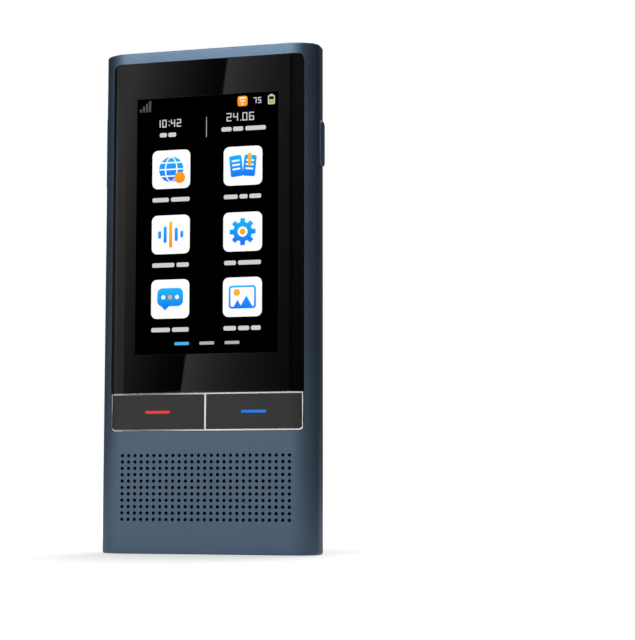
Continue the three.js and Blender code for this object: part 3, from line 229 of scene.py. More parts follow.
def carve(base, *tools, operation="DIFFERENCE"):
    """A form with others cut from it in turn, joined to it or kept as their common part."""
    for tool in tools:
        pair = []
        for form in (base, tool):
            bmesh.ops.recalc_face_normals(form, faces=form.faces)
            mesh = bpy.data.meshes.new("stock")
            form.to_mesh(mesh)
            form.free()
            pair.append(bpy.data.objects.new("stock", mesh))
            scene.collection.objects.link(pair[-1])
        cut = pair[0].modifiers.new("cut", "BOOLEAN")
        cut.operation = operation
        cut.object = pair[1]
        cut.solver = "EXACT"
        base = bmesh.new()
        base.from_object(pair[0], bpy.context.evaluated_depsgraph_get())
        for stock in pair:
            mesh = stock.data
            bpy.data.objects.remove(stock)
            bpy.data.meshes.remove(mesh)
        bmesh.ops.remove_doubles(base, verts=base.verts, dist=1e-7)
    return base


def inside_skin(form, margin=0.0):
    """What of a form lies inside the housing's outer skin, less a margin."""
    return carve(housing_form(margin), form, operation="INTERSECT")


def piece(name, form, material, stands_for=(), body="housing", edge=0.0):
    """A finished piece: a form with its finish, riding on a body; edge softens its sharp edges."""
    mesh = bpy.data.meshes.new(name)
    form.to_mesh(mesh)
    form.free()
    mesh.shade_smooth()
    mesh.set_sharp_from_angle(angle=sharp_angle)
    mesh.materials.append(material)
    made = bpy.data.objects.new(name, mesh)
    scene.collection.objects.link(made)
    if edge:
        soften = made.modifiers.new("soft edges", "BEVEL")
        soften.width = edge * MM
        soften.segments = soften_segments
        soften.limit_method = "ANGLE"
        soften.angle_limit = soften_angle
    weigh = made.modifiers.new("even faces", "WEIGHTED_NORMAL")
    weigh.keep_sharp = True
    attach(made, body)
    if stands_for:
        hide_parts(*stands_for)
    return made


def srgb(red, green, blue):
    """A colour read from a picture, as the linear colour that a shader takes."""
    linear = [
        c / 12.92 if c <= 0.04045 else ((c + 0.055) / 1.055) ** 2.4
        for c in (red / 255, green / 255, blue / 255)
    ]
    return (*linear, 1.0)


def feed(socket, value):
    """Links an output to an input socket, or gives the socket a plain value."""
    if isinstance(value, bpy.types.NodeSocket):
        socket.id_data.links.new(value, socket)
    else:
        socket.default_value = value


def node(tree, kind, sockets=None, **settings):
    """A node with its settings, and with input sockets fed by their names or numbers."""
    made = tree.nodes.new("ShaderNode" + kind)
    for label, setting in settings.items():
        setattr(made, label, setting)
    for label, value in (sockets or {}).items():
        feed(made.inputs[label], value)
    return made


def object_place(tree):
    """The place on the piece, in metres."""
    return node(tree, "TexCoord").outputs["Object"]


def maths(operation, *values, kind="Math"):
    """The result of a maths node, in the tree of the outputs among its values."""
    tree = next(value.id_data for value in values if isinstance(value, bpy.types.NodeSocket))
    return node(tree, kind, dict(enumerate(values)), operation=operation).outputs[0]


def distance(place):
    """The length of a vector."""
    return node(place.id_data, "VectorMath", {0: place}, operation="LENGTH").outputs["Value"]


def remap(value, start, end, low, high):
    """A value carried from one range to another, and held at its ends."""
    labels = ("Value", "From Min", "From Max", "To Min", "To Max")
    sockets = dict(zip(labels, (value, start, end, low, high)))
    return node(value.id_data, "MapRange", sockets).outputs["Result"]


def blend(share, first, second):
    """A colour between two others."""
    sockets = {"Factor": share, "A": first, "B": second}
    return node(share.id_data, "Mix", sockets, data_type="RGBA").outputs["Result"]


def noise(place, scale, detail=2.0):
    """A noise over a place."""
    return node(place.id_data, "TexNoise", {"Vector": place, "Scale": scale, "Detail": detail}).outputs["Fac"]


def surface_group(name, **inputs):
    """An empty node group, and what its inputs give: a colour has four numbers, a vector three."""
    group = bpy.data.node_groups.new(name, "ShaderNodeTree")
    for label, value in inputs.items():
        kind = {4: "Color", 3: "Vector"}[len(value)] if isinstance(value, tuple) else "Float"
        socket = group.interface.new_socket(
            label.replace("_", " "), in_out="INPUT", socket_type="NodeSocket" + kind,
        )
        socket.default_value = value
    return group, group.nodes.new("NodeGroupInput").outputs


def put_out(group, **results):
    """Gives a node group its outputs: a colour by that name, and plain numbers."""
    for label in results:
        kind = "Color" if label == "Colour" else "Float"
        group.interface.new_socket(label, in_out="OUTPUT", socket_type="NodeSocket" + kind)
    end = group.nodes.new("NodeGroupOutput")
    for label, result in results.items():
        feed(end.inputs[label], result)


# Grain: a fine and a broad noise move a colour and a roughness a little and lift the surface.
# Every painted, moulded and foamed piece has it, with its own values.
grey = (0.5, 0.5, 0.5, 1.0)
grain, grain_in = surface_group(
    "fine grain", Colour=grey, Second_colour=grey, Fine_scale=9000.0, Broad_scale=60.0,
    Roughness_from=0.4, Roughness_to=0.5,
)
grain_fine = noise(object_place(grain), grain_in["Fine scale"], 3)
grain_broad = noise(object_place(grain), grain_in["Broad scale"])
grain_both = node(grain, "Mix", {"Factor": 0.5, "A": grain_fine, "B": grain_broad}).outputs["Result"]
put_out(
    grain,
    Colour=blend(grain_both, grain_in["Colour"], grain_in["Second colour"]),
    Roughness=remap(grain_both, 0.3, 0.7, grain_in["Roughness from"], grain_in["Roughness to"]),
    Height=grain_fine,
)


def new_material(name, **sockets):
    """A material, its node tree and its Principled shader, with plain values on the shader."""
    material = bpy.data.materials.new(name)
    material.use_nodes = True
    shader = material.node_tree.nodes["Principled BSDF"]
    for label, value in sockets.items():
        feed(shader.inputs[label.replace("_", " ")], value)
    return material, material.node_tree, shader


def dress(shader, colour, rough, height, lift):
    """Gives a shader its colour and roughness, and a relief of so many millimetres."""
    bump = node(height.id_data, "Bump", {"Distance": lift * MM, "Height": height})
    for label, value in (("Base Color", colour), ("Roughness", rough), ("Normal", bump.outputs["Normal"])):
        feed(shader.inputs[label], value)


def surfaced(name, group, colours, roughness, bump, sizes, **sockets):
    """A finish from a node group: two colours, roughness from and to, and the height of its relief."""
    material, tree, shader = new_material(name, **sockets)
    surface = node(tree, "Group", {
        "Colour": srgb(*colours[0]), "Second colour": srgb(*colours[1]),
        "Roughness from": roughness[0], "Roughness to": roughness[1], **sizes,
    }, node_tree=group)
    colour, rough, height = surface.outputs
    dress(shader, colour, rough, height, bump)
    return material


def grained(name, colours, scales, roughness, bump, **sockets):
    """A finish with the fine grain, from its fine and its broad scale."""
    sizes = {"Fine scale": scales[0], "Broad scale": scales[1]}
    return surfaced(name, grain, colours, roughness, bump, sizes, **sockets)


blue_lacquer = grained(
    "satin blue lacquer", ((84, 102, 122), (92, 111, 132)), (9000, 60), (0.4, 0.48), 0.0006, Metallic=0.85,
)


def side_opening(length, width, depth, z, radius, side):
    """What a side opening takes out of one side wall (-1 left, 1 right)."""
    across = sorted((side * (housing_half - side_opening_reach), side * (housing_half + over)))
    return rounded_box(tuple(across), around(depth, width), around(z, length), "X", radius)


hollow = carve(
    housing_form(wall, end_wall),
    box_form(face_half + face_land, (-over, glass_land), (glass_bottom, glass_top + face_land)),
    box_form(face_half + face_land, (-over, key_shelf), (key_bottom - face_land, glass_bottom + face_land)),
    together([round_post(radius, x, z, boss_front, far) for x, z, radius, far in boss_places]),
)
shelf_holes = []
for x in (-talk_key_x, talk_key_x):
    shelf_holes.append(round_post(plunger_hole, x, talk_key_z, *shelf_span))
    shelf_holes += [
        box_form(around(leg_x, leg_hole_width), shelf_span, around(talk_key_z, leg_hole_height))
        for leg_x in around(x, leg_spread)
    ]
pilots = [
    round_post(pilot_radius, x, z, far - pilot_length, far + over, sides=12) for x, z, _, far in boss_places
]
picture_window = box_form(
    picture_half + window_side, (glass_seat / 2, glass_land + over),
    (picture_bottom - window_foot, picture_top + window_side),
)
side_openings = [
    side_opening(
        length + 2 * side_key_gap, side_key_width + 2 * side_key_gap, side_key_depth, side_key_z,
        side_key_radius, side,
    )
    for length, side in ((power_length, 1), (volume_length, -1))
]
side_openings.append(side_opening(
    tray_high - tray_low + 2 * fit_gap, tray_plate_width + 2 * fit_gap, tray_depth,
    (tray_low + tray_high) / 2, tray_plate_width / 2, -1,
))
end_openings = [
    rounded_box(
        socket_half + fit_gap, around(socket_depth, 2 * (socket_rise + fit_gap)), (-over, end_wall + over),
        "Z", socket_rise,
    ),
    turned_post(microphone_radius, -over, end_wall + microphone_over, "Z", (-microphone_x, socket_depth, 0)),
    turned_post(
        microphone_radius, -end_wall - microphone_over, over, "Z",
        (microphone_x, socket_depth, housing_height),
    ),
]
grille_holes = [
    round_post(
        grille_radius, (column - (grille_columns - 1) / 2) * grille_pitch_x,
        grille_middle + (row - (grille_rows - 1) / 2) * grille_pitch_z,
        -grille_over, wall + grille_over, sides=grille_sides,
    )
    for row in range(grille_rows) for column in range(grille_columns)
]
tub = carve(
    housing_form(rounding=end_rounding),
    box_form(
        housing_half + over, (seam_depth - seam_gap / 2, housing_depth + over),
        (-over, housing_height + over),
    ),
    hollow,
    box_form(opening_half, (side_end_depth, housing_depth), (end_wall, housing_height - end_wall)),
    rounded_box(
        face_half + fit_gap, (-over, glass_seat), (glass_bottom - fit_gap, glass_top + fit_gap), "Y",
        glass_foot_radius, glass_top_radius + corner_ease,
    ),
    rounded_box(
        face_half + fit_gap, (-over, key_seat), (key_bottom - fit_gap, glass_bottom), "Y",
        trim_radius + corner_ease, trim_top_radius,
    ),
    together([*shelf_holes, picture_window, *pilots]),
    together(side_openings + end_openings),
    together(grille_holes),
)
piece("front_tub", tub, blue_lacquer, ["front_shell"])

# Speaker cloth
# A fine black woven cloth keeps dust out of the speaker. It is one flat sheet, bonded to the tub
# behind the drilled field.
thread_scale, thread_height = 1600, 0.04
cloth, cloth_tree, cloth_shader = new_material("black speaker cloth", Sheen_Weight=0.1)
weave = maths("MULTIPLY", *(
    node(
        cloth_tree, "TexWave", {"Vector": object_place(cloth_tree), "Scale": thread_scale},
        bands_direction=direction,
    ).outputs["Fac"]
    for direction in "XZ"
))
cloth_colour = blend(weave, srgb(4, 4, 5), srgb(18, 19, 22))
dress(cloth_shader, cloth_colour, remap(weave, 0, 1, 0.95, 0.75), weave, thread_height)
nodes["grille_mesh"].data.materials[0] = cloth

# Crowned back
# The rear cover is one moulding in the same lacquer, flat down its middle and falling away to the
# seam at both sides. A lip round it drops into the tub, and a pocket takes the camera window.
bezel_half, bezel_low, bezel_high, bezel_radius = 4.7, 101.0, 126.0, 1.6
bezel_floor, bezel_face = 13.71, 14.75
camera_z, camera_hole = 121.1, 3.6
flash_x, flash_radius, flash_gap = 9.22, 1.8, 0.1
lip_half, lip_front, lip_width, lip_cover = 25.2, 9.82, 0.8, 0.1
lip_gap, root_inset, root_lift = 0.15, 0.3, 0.01
lip_inset = end_wall + lip_gap
pad_margin, pad_front = 1.2, 13.01
rib_half, rib_front, rib_thickness, rib_places = 17.0, 12.4, 0.9, (33.2, 49.2, 65.2, 81.1)
rib_root, camera_hole_over = 0.1, 0.2
hollow = carve(housing_form(wall, end_wall), box_form(
    bezel_half + pad_margin, (pad_front, housing_depth), (bezel_low - pad_margin, bezel_high + pad_margin),
))
back = carve(
    housing_form(rounding=end_rounding),
    box_form(housing_half + over, (-over, seam_depth + seam_gap / 2), (-over, housing_height + over)),
    hollow,
)
lip = carve(
    box_form(lip_half, (lip_front, housing_depth), (lip_inset, housing_height - lip_inset)),
    box_form(
        lip_half, (seam_depth - seam_gap / 2 + root_lift, housing_depth),
        (root_inset, housing_height - root_inset),
    ),
    operation="UNION",
)
lip = carve(lip, box_form(
    lip_half - lip_width, (0, housing_depth + over),
    (lip_inset + lip_width, housing_height - lip_inset - lip_width),
))
lip = inside_skin(lip, lip_cover)
ribs = [
    box_form(rib_half, (rib_front, housing_depth - wall + rib_root), (z, z + rib_thickness))
    for z in rib_places
]
back = carve(back, lip, together(ribs), operation="UNION")
back = carve(
    back,
    rounded_box(
        bezel_half + fit_gap, (bezel_floor, housing_depth + over),
        (bezel_low - fit_gap, bezel_high + fit_gap), "Y", bezel_radius,
    ),
    together([
        round_post(camera_hole, 0, camera_z, pad_front - over, bezel_floor + camera_hole_over, sides=40),
        round_post(flash_radius + flash_gap, flash_x, camera_z, seam_depth, housing_depth + over, sides=40),
    ]),
)
piece("crowned_back", back, blue_lacquer, ["rear_cover"])

# Cover glass
# One pane of black glass is bonded into the tub and ground to follow its round shoulders. The
# picture lies in a window of it that is dull black where nothing is lit.
glass_thickness, glass_edge = 1.1, 0.03
picture_sink = 0.12
black_glass = grained("black cover glass", ((2, 2, 2), (4, 4, 4)), (4000, 35), (0.008, 0.02), 0.000005)
pane = inside_skin(rounded_box(
    face_half, (-over, glass_thickness), (glass_bottom, glass_top), "Y", glass_foot_radius, glass_top_radius,
))
pane = carve(pane, box_form(picture_half, (-over, picture_sink), (picture_bottom, picture_top)))
pane = piece("cover_pane", pane, black_glass, ["cover_glass"], edge=glass_edge)
# Where the flat front meets the round shoulders the shading is kept apart, so that the front stays flat.
for edge in pane.data.edges:
    if all(
        abs(abs(pane.data.vertices[i].co.x) - (housing_half - shoulder_width) * MM) < 1e-6
        for i in edge.vertices
    ):
        edge.use_edge_sharp = True

# Picture
# The lit picture is six white tiles with blue and orange signs on black, plain bars for the words
# under them, a clock of plain digits, and a row of small signs along the top.
layer, ground_margin = 0.02, 0.02
tile_columns, tile_rows = (-9.9, 9.97), (100.9, 83.5, 66.4)
tile_width, tile_height, tile_radius = 10.6, 10.3, 1.5
label_drop, label_height = 8.1, 1.15
pixel_pitch = 0.08

# Lit pixels: a colour that changes from the foot of a sign to its top, over the grid of a picture.
white = (1.0, 1.0, 1.0, 1.0)
pixels, pixels_in = surface_group("lit pixels", Low_colour=white, High_colour=white, Rise=0.0174, Start=0.0)
pixels_height = node(pixels, "SeparateXYZ", {0: object_place(pixels)}).outputs["Z"]
pixels_lift = maths("SUBTRACT", pixels_height, pixels_in["Start"])
pixels_part = maths("FRACT", maths("DIVIDE", pixels_lift, pixels_in["Rise"]))
pixels_colour = blend(remap(pixels_part, 0.1, 0.5, 0, 1), pixels_in["Low colour"], pixels_in["High colour"])
pixels_grid = node(pixels, "TexWave", {
    "Vector": object_place(pixels), "Scale": math.pi / 10 / (pixel_pitch * MM),
}).outputs["Fac"]
put_out(pixels, Colour=node(
    pixels, "VectorMath", {0: pixels_colour, "Scale": remap(pixels_grid, 0, 1, 0.96, 1)}, operation="SCALE",
).outputs[0])


def lit(name, low, high):
    """A lit colour of the picture, from low to high over each row of tiles."""
    material, tree, shader = new_material(
        name, Base_Color=(0.002, 0.002, 0.002, 1), Roughness=0.6, Specular_IOR_Level=0.1,
        Emission_Strength=1.0,
    )
    glow = node(tree, "Group", {
        "Low colour": low, "High colour": high, "Rise": (tile_rows[0] - tile_rows[1]) * MM,
        "Start": (tile_rows[2] - tile_height / 2) * MM,
    }, node_tree=pixels)
    feed(shader.inputs["Emission Color"], glow.outputs["Colour"])
    return material


def plate(x, z, width, height, level, radius=0.0):
    """A thin plate of the picture, so many layers above its black ground."""
    far = picture_sink - layer * level
    ends = around(x, width), (far - layer, far), around(z, height)
    return rounded_box(*ends, "Y", radius, segments=4) if radius else box_form(*ends)


def dot(x, z, radius, level, sides=28):
    """A round plate of the picture."""
    far = picture_sink - layer * level
    return round_post(radius, x, z, far - layer, far, sides=sides)


def about(form, x, z, degrees=0, stretch=1):
    """A form turned about a place on the picture, and made narrower or wider there."""
    middle = Vector((x, 0, z)) * MM
    turn = Matrix.Rotation(math.radians(degrees), 4, "Y") @ Matrix.Diagonal((stretch, 1, 1, 1))
    matrix = Matrix.Translation(middle) @ turn @ Matrix.Translation(-middle)
    bmesh.ops.transform(form, matrix=matrix, verts=form.verts)
    return form


blue_signs, orange_signs, white_signs = [], [], []
left_x, right_x = tile_columns
top_z, middle_z, low_z = tile_rows

# A globe with a marker
globe_radius, globe_inner, globe_line = 3.4, 3.1, 0.35
blue_signs.append(dot(left_x, top_z, globe_radius, 2, sides=40))
white_signs.append(carve(
    about(dot(left_x, top_z, globe_radius, 3, sides=40), left_x, top_z, stretch=0.52),
    about(round_post(globe_inner, left_x, top_z, -over, over, sides=40), left_x, top_z, stretch=0.46),
))
white_signs += [
    plate(left_x, top_z + rise, width, globe_line, 3) for rise, width in ((0, 6.7), (1.8, 5.7), (-1.8, 5.7))
]
orange_signs.append(dot(left_x + 2.4, top_z - 2.3, 1.5, 4))

# An open book with a ribbon
leaf_offset, leaf_width, leaf_height, leaf_turn = 1.85, 3.4, 5.6, 6
for side in (-1, 1):
    leaf_x = right_x + side * leaf_offset
    leaf = [plate(leaf_x, top_z, leaf_width, leaf_height, 2, 0.5)]
    leaf += [plate(leaf_x, top_z + rise, 2.1, 0.45, 3) for rise in (1.4, 0.3, -0.8)]
    leaf = [about(form, leaf_x, top_z, side * leaf_turn) for form in leaf]
    blue_signs.append(leaf[0])
    white_signs += leaf[1:]
orange_signs.append(plate(right_x + 1.9, top_z + 1.6, 0.9, 3.4, 4))

# Bars of sound
bar_pitch, bar_width = 1.55, 0.85
for i, height in enumerate((2.0, 4.4, 7.0, 3.6, 1.8)):
    bar = plate(left_x + (i - 2) * bar_pitch, middle_z, bar_width, height, 2, 0.42)
    (orange_signs if i == 2 else blue_signs).append(bar)

# A toothed wheel
tooth_count, tooth_size, tooth_place = 8, 1.3, 2.9
for i in range(tooth_count):
    tooth = plate(right_x, middle_z + tooth_place, tooth_size, tooth_size, 2, 0.2)
    blue_signs.append(about(tooth, right_x, middle_z, i * 360 / tooth_count))
blue_signs.append(dot(right_x, middle_z, 2.6, 2, sides=40))
white_signs.append(dot(right_x, middle_z, 1.35, 3))
orange_signs.append(dot(right_x, middle_z, 0.8, 4))

# A bubble with three dots
bubble_z, bubble_dot, tail_x, tail_z = low_z + 0.5, 0.55, left_x - 1.4, low_z - 1.7
blue_signs.append(plate(left_x, bubble_z, 7.2, 4.8, 2, 1.4))
blue_signs.append(about(plate(tail_x, tail_z, 1.8, 1.8, 2), tail_x, tail_z, 45))
white_signs += [dot(left_x + offset, bubble_z, bubble_dot, 3) for offset in (-1.9, 1.9)]
orange_signs.append(dot(left_x, bubble_z, bubble_dot, 3))

# A landscape with a sun
blue_signs.append(plate(right_x, low_z, 7.4, 6.0, 2, 0.8))
white_signs.append(plate(right_x, low_z, 6.4, 5.0, 3, 0.4))
orange_signs.append(dot(right_x - 1.5, low_z + 1.2, 0.9, 4))
for offset, size in ((1.1, 1.9), (-1.3, 1.2)):
    hill_x, hill_z = right_x + offset, low_z - 2.5 + size / 2
    blue_signs.append(about(dot(hill_x, hill_z, size, 4, sides=3), hill_x, hill_z, 180))

# Clock and other signs in plain digits, each a figure of up to seven bars
figure_bars = {"0": "abcdef", "1": "bc", "2": "abged", "4": "fgbc", "5": "afgcd", "6": "afgcde", "7": "abc"}
bar_places = {
    "a": (0, 1), "g": (0, 0), "d": (0, -1),
    "f": (-0.5, 0.5), "b": (0.5, 0.5), "e": (-0.5, -0.5), "c": (0.5, -0.5),
}


def figures(text, x, z, width, height, stroke):
    """Plain digits in a row from a left edge, with a colon or a point where one is written."""
    made = []
    for sign in text:
        if sign in ":.":
            heights = (-1, 1) if sign == ":" else (-1.7,)
            made += [plate(x + stroke, z + way * height / 4, stroke, stroke, 1) for way in heights]
            x += stroke * 2.6
            continue
        for bar in figure_bars[sign]:
            across, up = bar_places[bar]
            size = (stroke, height / 2) if across else (width, stroke)
            bar_x = x + width / 2 + across * (width - stroke)
            made.append(plate(bar_x, z + up * (height - stroke) / 2, *size, 1))
        x += width + stroke * 1.7
    return made


pale_signs = figures("10:42", -14.2, 113.3, 1.2, 2.1, 0.28)
pale_signs += figures("24.06", 5.4, 114.0, 1.35, 2.2, 0.28)
pale_signs += figures("75", 12.8, 118.1, 0.85, 1.6, 0.24)
label_z = [row - label_drop for row in tile_rows]
for z, middle, words in (
    (110.2, 0, ((-12.2, 2.0), (-9.7, 2.2))),
    (110.8, 0, ((5.4, 2.8), (8.6, 2.8), (13.4, 5.6))),
    (label_z[0], left_x, ((-2.9, 4.6), (2.6, 5.2))),
    (label_z[0], right_x, ((-3.3, 3.8), (0.2, 2.2), (3.4, 3.2))),
    (label_z[1], left_x, ((-2.0, 6.2), (3.4, 3.4))),
    (label_z[1], right_x, ((-3.4, 3.2), (1.9, 6.2))),
    (label_z[2], left_x, ((-2.6, 5.2), (2.9, 4.6))),
    (label_z[2], right_x, ((-3.4, 3.4), (0.4, 3.0), (3.7, 2.6))),
):
    pale_signs += [plate(middle + x, z, width, label_height, 1, 0.4) for x, width in words]
cell_x = 17.7
pale_signs += [
    carve(plate(cell_x, 118.0, 1.9, 2.4, 1, 0.3), box_form((17.05, 18.35), (-over, over), (117.1, 118.9))),
    plate(cell_x, 119.35, 0.8, 0.3, 1),
]
page_z, page_width, page_height = 54.6, 4.0, 0.8
page_x, other_pages = -6.6, (0.3, 7.2)
grey_signs = [plate(-0.15, 111.8, 0.18, 5.4, 1)]
grey_signs += [plate(x, page_z, page_width, page_height, 1, 0.2) for x in other_pages]
dim_signs = [plate(-18.6 + i * 0.85, 117.1 + i * 0.35, 0.6, 0.9 + i * 0.7, 1) for i in range(4)]
white_signs += [plate(9.8, 117.3 + i * 0.8, 0.6 + i * 0.6, 0.33, 2, 0.15) for i in range(3)]
ground_form = box_form(
    picture_half - ground_margin, (picture_sink - layer, picture_sink),
    (picture_bottom + ground_margin, picture_top - ground_margin),
)
dull_black = grained(
    "unlit picture", ((0, 0, 0), (1, 1, 1)), (12000, 40), (0.55, 0.7), 0.0002, Specular_IOR_Level=0.0,
)
piece("picture_ground", ground_form, dull_black)
tiles = [plate(x, z, tile_width, tile_height, 1, tile_radius) for x in tile_columns for z in tile_rows]
tile_white = lit("lit white", white, (1.03, 1.03, 1.03, 1))
for name, forms, material in (
    ("picture_tiles", tiles, tile_white),
    ("white_signs", white_signs, tile_white),
    ("blue_signs", blue_signs, lit("lit blue", srgb(6, 112, 250), srgb(8, 188, 248))),
    ("orange_signs", orange_signs, lit("lit orange", srgb(250, 146, 16), srgb(255, 194, 40))),
    ("pale_signs", pale_signs, lit("lit pale grey", srgb(196, 198, 202), srgb(206, 208, 212))),
    ("grey_signs", grey_signs, lit("lit grey", srgb(150, 152, 156), srgb(176, 178, 182))),
    ("dim_signs", dim_signs, lit("lit dark grey", srgb(66, 67, 69), srgb(80, 81, 83))),
    (
        "amber_sign", [plate(9.8, 118.1, 2.7, 2.7, 1, 0.6)],
        lit("lit amber", srgb(255, 152, 0), srgb(255, 170, 24)),
    ),
    (
        "page_sign", [plate(page_x, page_z, page_width, page_height, 1, 0.2)],
        lit("lit sky blue", srgb(40, 150, 220), srgb(70, 180, 240)),
    ),
    (
        "charge_sign", [plate(cell_x, 117.65, 1.15, 1.0, 1)],
        lit("lit green", srgb(150, 200, 30), srgb(176, 222, 50)),
    ),
):
    piece(name, together(forms), material)

# Talk keys
# Two wide keys of dark satin plastic stand in a bright frame under the glass, each with a coloured
# bar let into it. A plunger behind each presses a snap dome, and two barbed legs hold it.
key_gap, trim_line, divider, trim_clearance = 0.12, 0.4, 0.55, 0.02
key_bar_top = glass_bottom - fit_gap
key_cap, stem_root = 1.5, 0.1
mark_width, mark_height, mark_depth, mark_radius, mark_gap = 6.7, 0.7, 0.4, 0.15, 0.03
plunger_radius, plunger_reach, leg_width, leg_thickness = 1.3, 0.25, 1.6, 0.8
barb_gap, barb_reach = 0.05, 0.35
barb_front = key_shelf + barb_gap

# Brushed lines: a noise drawn out along one axis moves a metal's colour and roughness.
brush, brush_in = surface_group(
    "brushed lines", Colour=grey, Second_colour=grey, Stretch=(200.0, 9000.0, 9000.0), Roughness_from=0.2,
    Roughness_to=0.4,
)
brush_noise = noise(maths("MULTIPLY", object_place(brush), brush_in["Stretch"], kind="VectorMath"), 1, 3)
put_out(
    brush,
    Colour=blend(brush_noise, brush_in["Colour"], brush_in["Second colour"]),
    Roughness=remap(brush_noise, 0, 1, brush_in["Roughness from"], brush_in["Roughness to"]),
    Height=brush_noise,
)


def brushed(name, colours, stretch, roughness, bump):
    """A metal with brushed lines."""
    return surfaced(name, brush, colours, roughness, bump, {"Stretch": stretch}, Metallic=1.0)


bright_trim = brushed(
    "bright trim", ((222, 224, 226), (234, 235, 236)), (4000, 4000, 4000), (0.06, 0.1), 0.00003,
)
key_plastic = grained("dark key plastic", ((46, 46, 47), (51, 51, 52)), (11000, 90), (0.26, 0.34), 0.0006)


def talk_key_block(side, gap, near, far):
    """The space of one talk key inside the trim (-1 left, 1 right), less a gap."""
    across = sorted((side * (divider / 2 + gap), side * (face_half - trim_line - gap)))
    heights = key_bottom + trim_line + gap, key_bar_top - trim_line - gap
    block = box_form(tuple(across), (near, far), heights)
    corner = [
        e for e in block.edges
        if abs((e.verts[0].co - e.verts[1].co).normalized().y) > 0.999
        and e.verts[0].co.x * side > face_half / 2 * MM and e.verts[0].co.z < talk_key_z * MM
    ]
    return rounded(block, corner, trim_radius - trim_line, 6)


trim = inside_skin(rounded_box(
    face_half, (-over, key_seat - trim_clearance), (key_bottom, key_bar_top), "Y", trim_radius,
    trim_top_radius,
))
trim = carve(trim, together([talk_key_block(side, 0, -2 * over, key_seat + over) for side in (-1, 1)]))
piece("bright_frame", trim, bright_trim, ["key_trim"], edge=0.05)
for side, name, mark_slot, colours in (
    (-1, "left", "red_inlay", ((255, 52, 50), (246, 62, 60))),
    (1, "right", "blue_inlay", ((18, 124, 238), (30, 134, 232))),
):
    x, body = side * talk_key_x, name + "_talk_key"
    key_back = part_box(name + "_key")[1].y / MM - front_y
    leg_rise = around(talk_key_z, leg_thickness)
    stems = [round_post(plunger_radius, x, talk_key_z, key_cap - stem_root, key_shelf + plunger_reach)]
    for end in (-1, 1):
        leg_x = x + end * leg_spread / 2
        stems.append(carve(
            box_form(around(leg_x, leg_width), (key_cap - stem_root, key_back), leg_rise),
            box_form(around(leg_x + end * barb_reach, leg_width), (barb_front, key_back), leg_rise),
            operation="UNION",
        ))
    key = carve(inside_skin(talk_key_block(side, key_gap, -over, key_cap)), rounded_box(
        around(x, mark_width + 2 * mark_gap), (-over, mark_depth),
        around(talk_key_z, mark_height + 2 * mark_gap), "Y", mark_radius,
    ))
    key = carve(key, together(stems), operation="UNION")
    piece(name + "_talk_cap", key, key_plastic, [name + "_key"], body, edge=0.08)
    # The coloured bar also glows faintly in its own colour: a painted glow, as the bar is no lamp.
    inlay_with_painted_glow = grained(
        name + " key inlay", colours, (9000, 200), (0.3, 0.4), 0.0004,
        Emission_Color=srgb(*colours[0]), Emission_Strength=0.35,
    )
    mark_ends = around(x, mark_width), (0, mark_depth), around(talk_key_z, mark_height)
    mark = rounded_box(*mark_ends, "Y", mark_radius)
    piece(name + "_talk_mark", mark, inlay_with_painted_glow, [name + "_key_mark"], body)

# Side keys
# The power button is in the right side and the volume rocker in the left one. Each is a lacquered
# bar with round ends, standing 0.4 mm proud, with a flange inside the wall that keeps it in.
side_key_chamfer, side_plunger, side_stem_root = 0.25, 0.9, 0.1
flange_gap, flange_margin, flange_thickness = 0.05, 0.6, 0.5
switch_spread, rocker_room, nub_width, nub_height = 12.0, 0.4, 2.4, 1.0
for name, body, length, side, ends, plunger_end in (
    ("power_button", "power_key", power_length, 1, (0,), 26.59),
    ("volume_rocker", "volume_key", volume_length, -1, (-0.5, 0.5), 26.51),
):
    low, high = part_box(name)
    reach = (high.x if side > 0 else -low.x) / MM
    inner = (low.x if side > 0 else -high.x) / MM
    flange_outer = housing_half - wall - flange_gap - (rocker_room if side < 0 else 0)
    flange_inner = flange_outer - flange_thickness
    cap = rounded_box(
        (flange_inner, reach), around(side_key_depth, side_key_width), around(side_key_z, length), "X",
        side_key_radius, segments=8,
    )
    rims = [e for e in cap.edges if all(v.co.x > (reach - hair) * MM for v in e.verts)]
    rounded(cap, rims, side_key_chamfer)
    flange = inside_skin(rounded_box(
        (flange_inner, flange_outer), around(side_key_depth, side_key_width + 2 * flange_margin),
        around(side_key_z, length + 2 * flange_margin), "X", side_key_radius + flange_margin,
    ), housing_half - flange_outer)
    stem_end = flange_inner + side_stem_root
    stems = [
        turned_post(
            side_plunger, plunger_end, stem_end, "X", (0, side_key_depth, side_key_z + end * switch_spread),
        )
        for end in ends
    ]
    if side < 0:
        stems.append(box_form(
            (inner, stem_end), around(side_key_depth, nub_width), around(side_key_z, nub_height),
        ))
    cap = carve(cap, flange, together(stems), operation="UNION")
    if side < 0:
        bmesh.ops.scale(cap, verts=cap.verts, vec=(-1, 1, 1))
        bmesh.ops.recalc_face_normals(cap, faces=cap.faces)
    piece(name + "_cap", cap, blue_lacquer, [name], body)

# Card tray
# A lacquered end plate lies flush with the left side, with a small hole for the eject pin. Behind
# it a carrier holds the card, and slides in a cage of thin sheet metal on the board.
pin_z, pin_radius, tray_plate, tray_thickness = 76.5, 0.6, 1.6, 0.9
carrier_margin, carrier_height = 0.8, 11.8
card_length, card_width, card_thickness, card_radius = 12.3, 8.8, 0.7, 0.5
plate_ease = 0.05
tray_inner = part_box("card_tray")[1].x / MM
carrier_low = tray_low + carrier_margin
carrier_high = carrier_low + carrier_height
carrier_front, carrier_back = around(tray_depth, tray_thickness)
side_rim = (carrier_height - card_width) / 2
tray = inside_skin(rounded_box(
    (-housing_half - over, -housing_half + tray_plate), around(tray_depth, tray_plate_width),
    (tray_low, tray_high), "X", tray_plate_width / 2 - plate_ease, segments=8,
))
tray = carve(tray, box_form(
    (-housing_half + tray_plate / 2, tray_inner), (carrier_front, carrier_back), (carrier_low, carrier_high),
), operation="UNION")
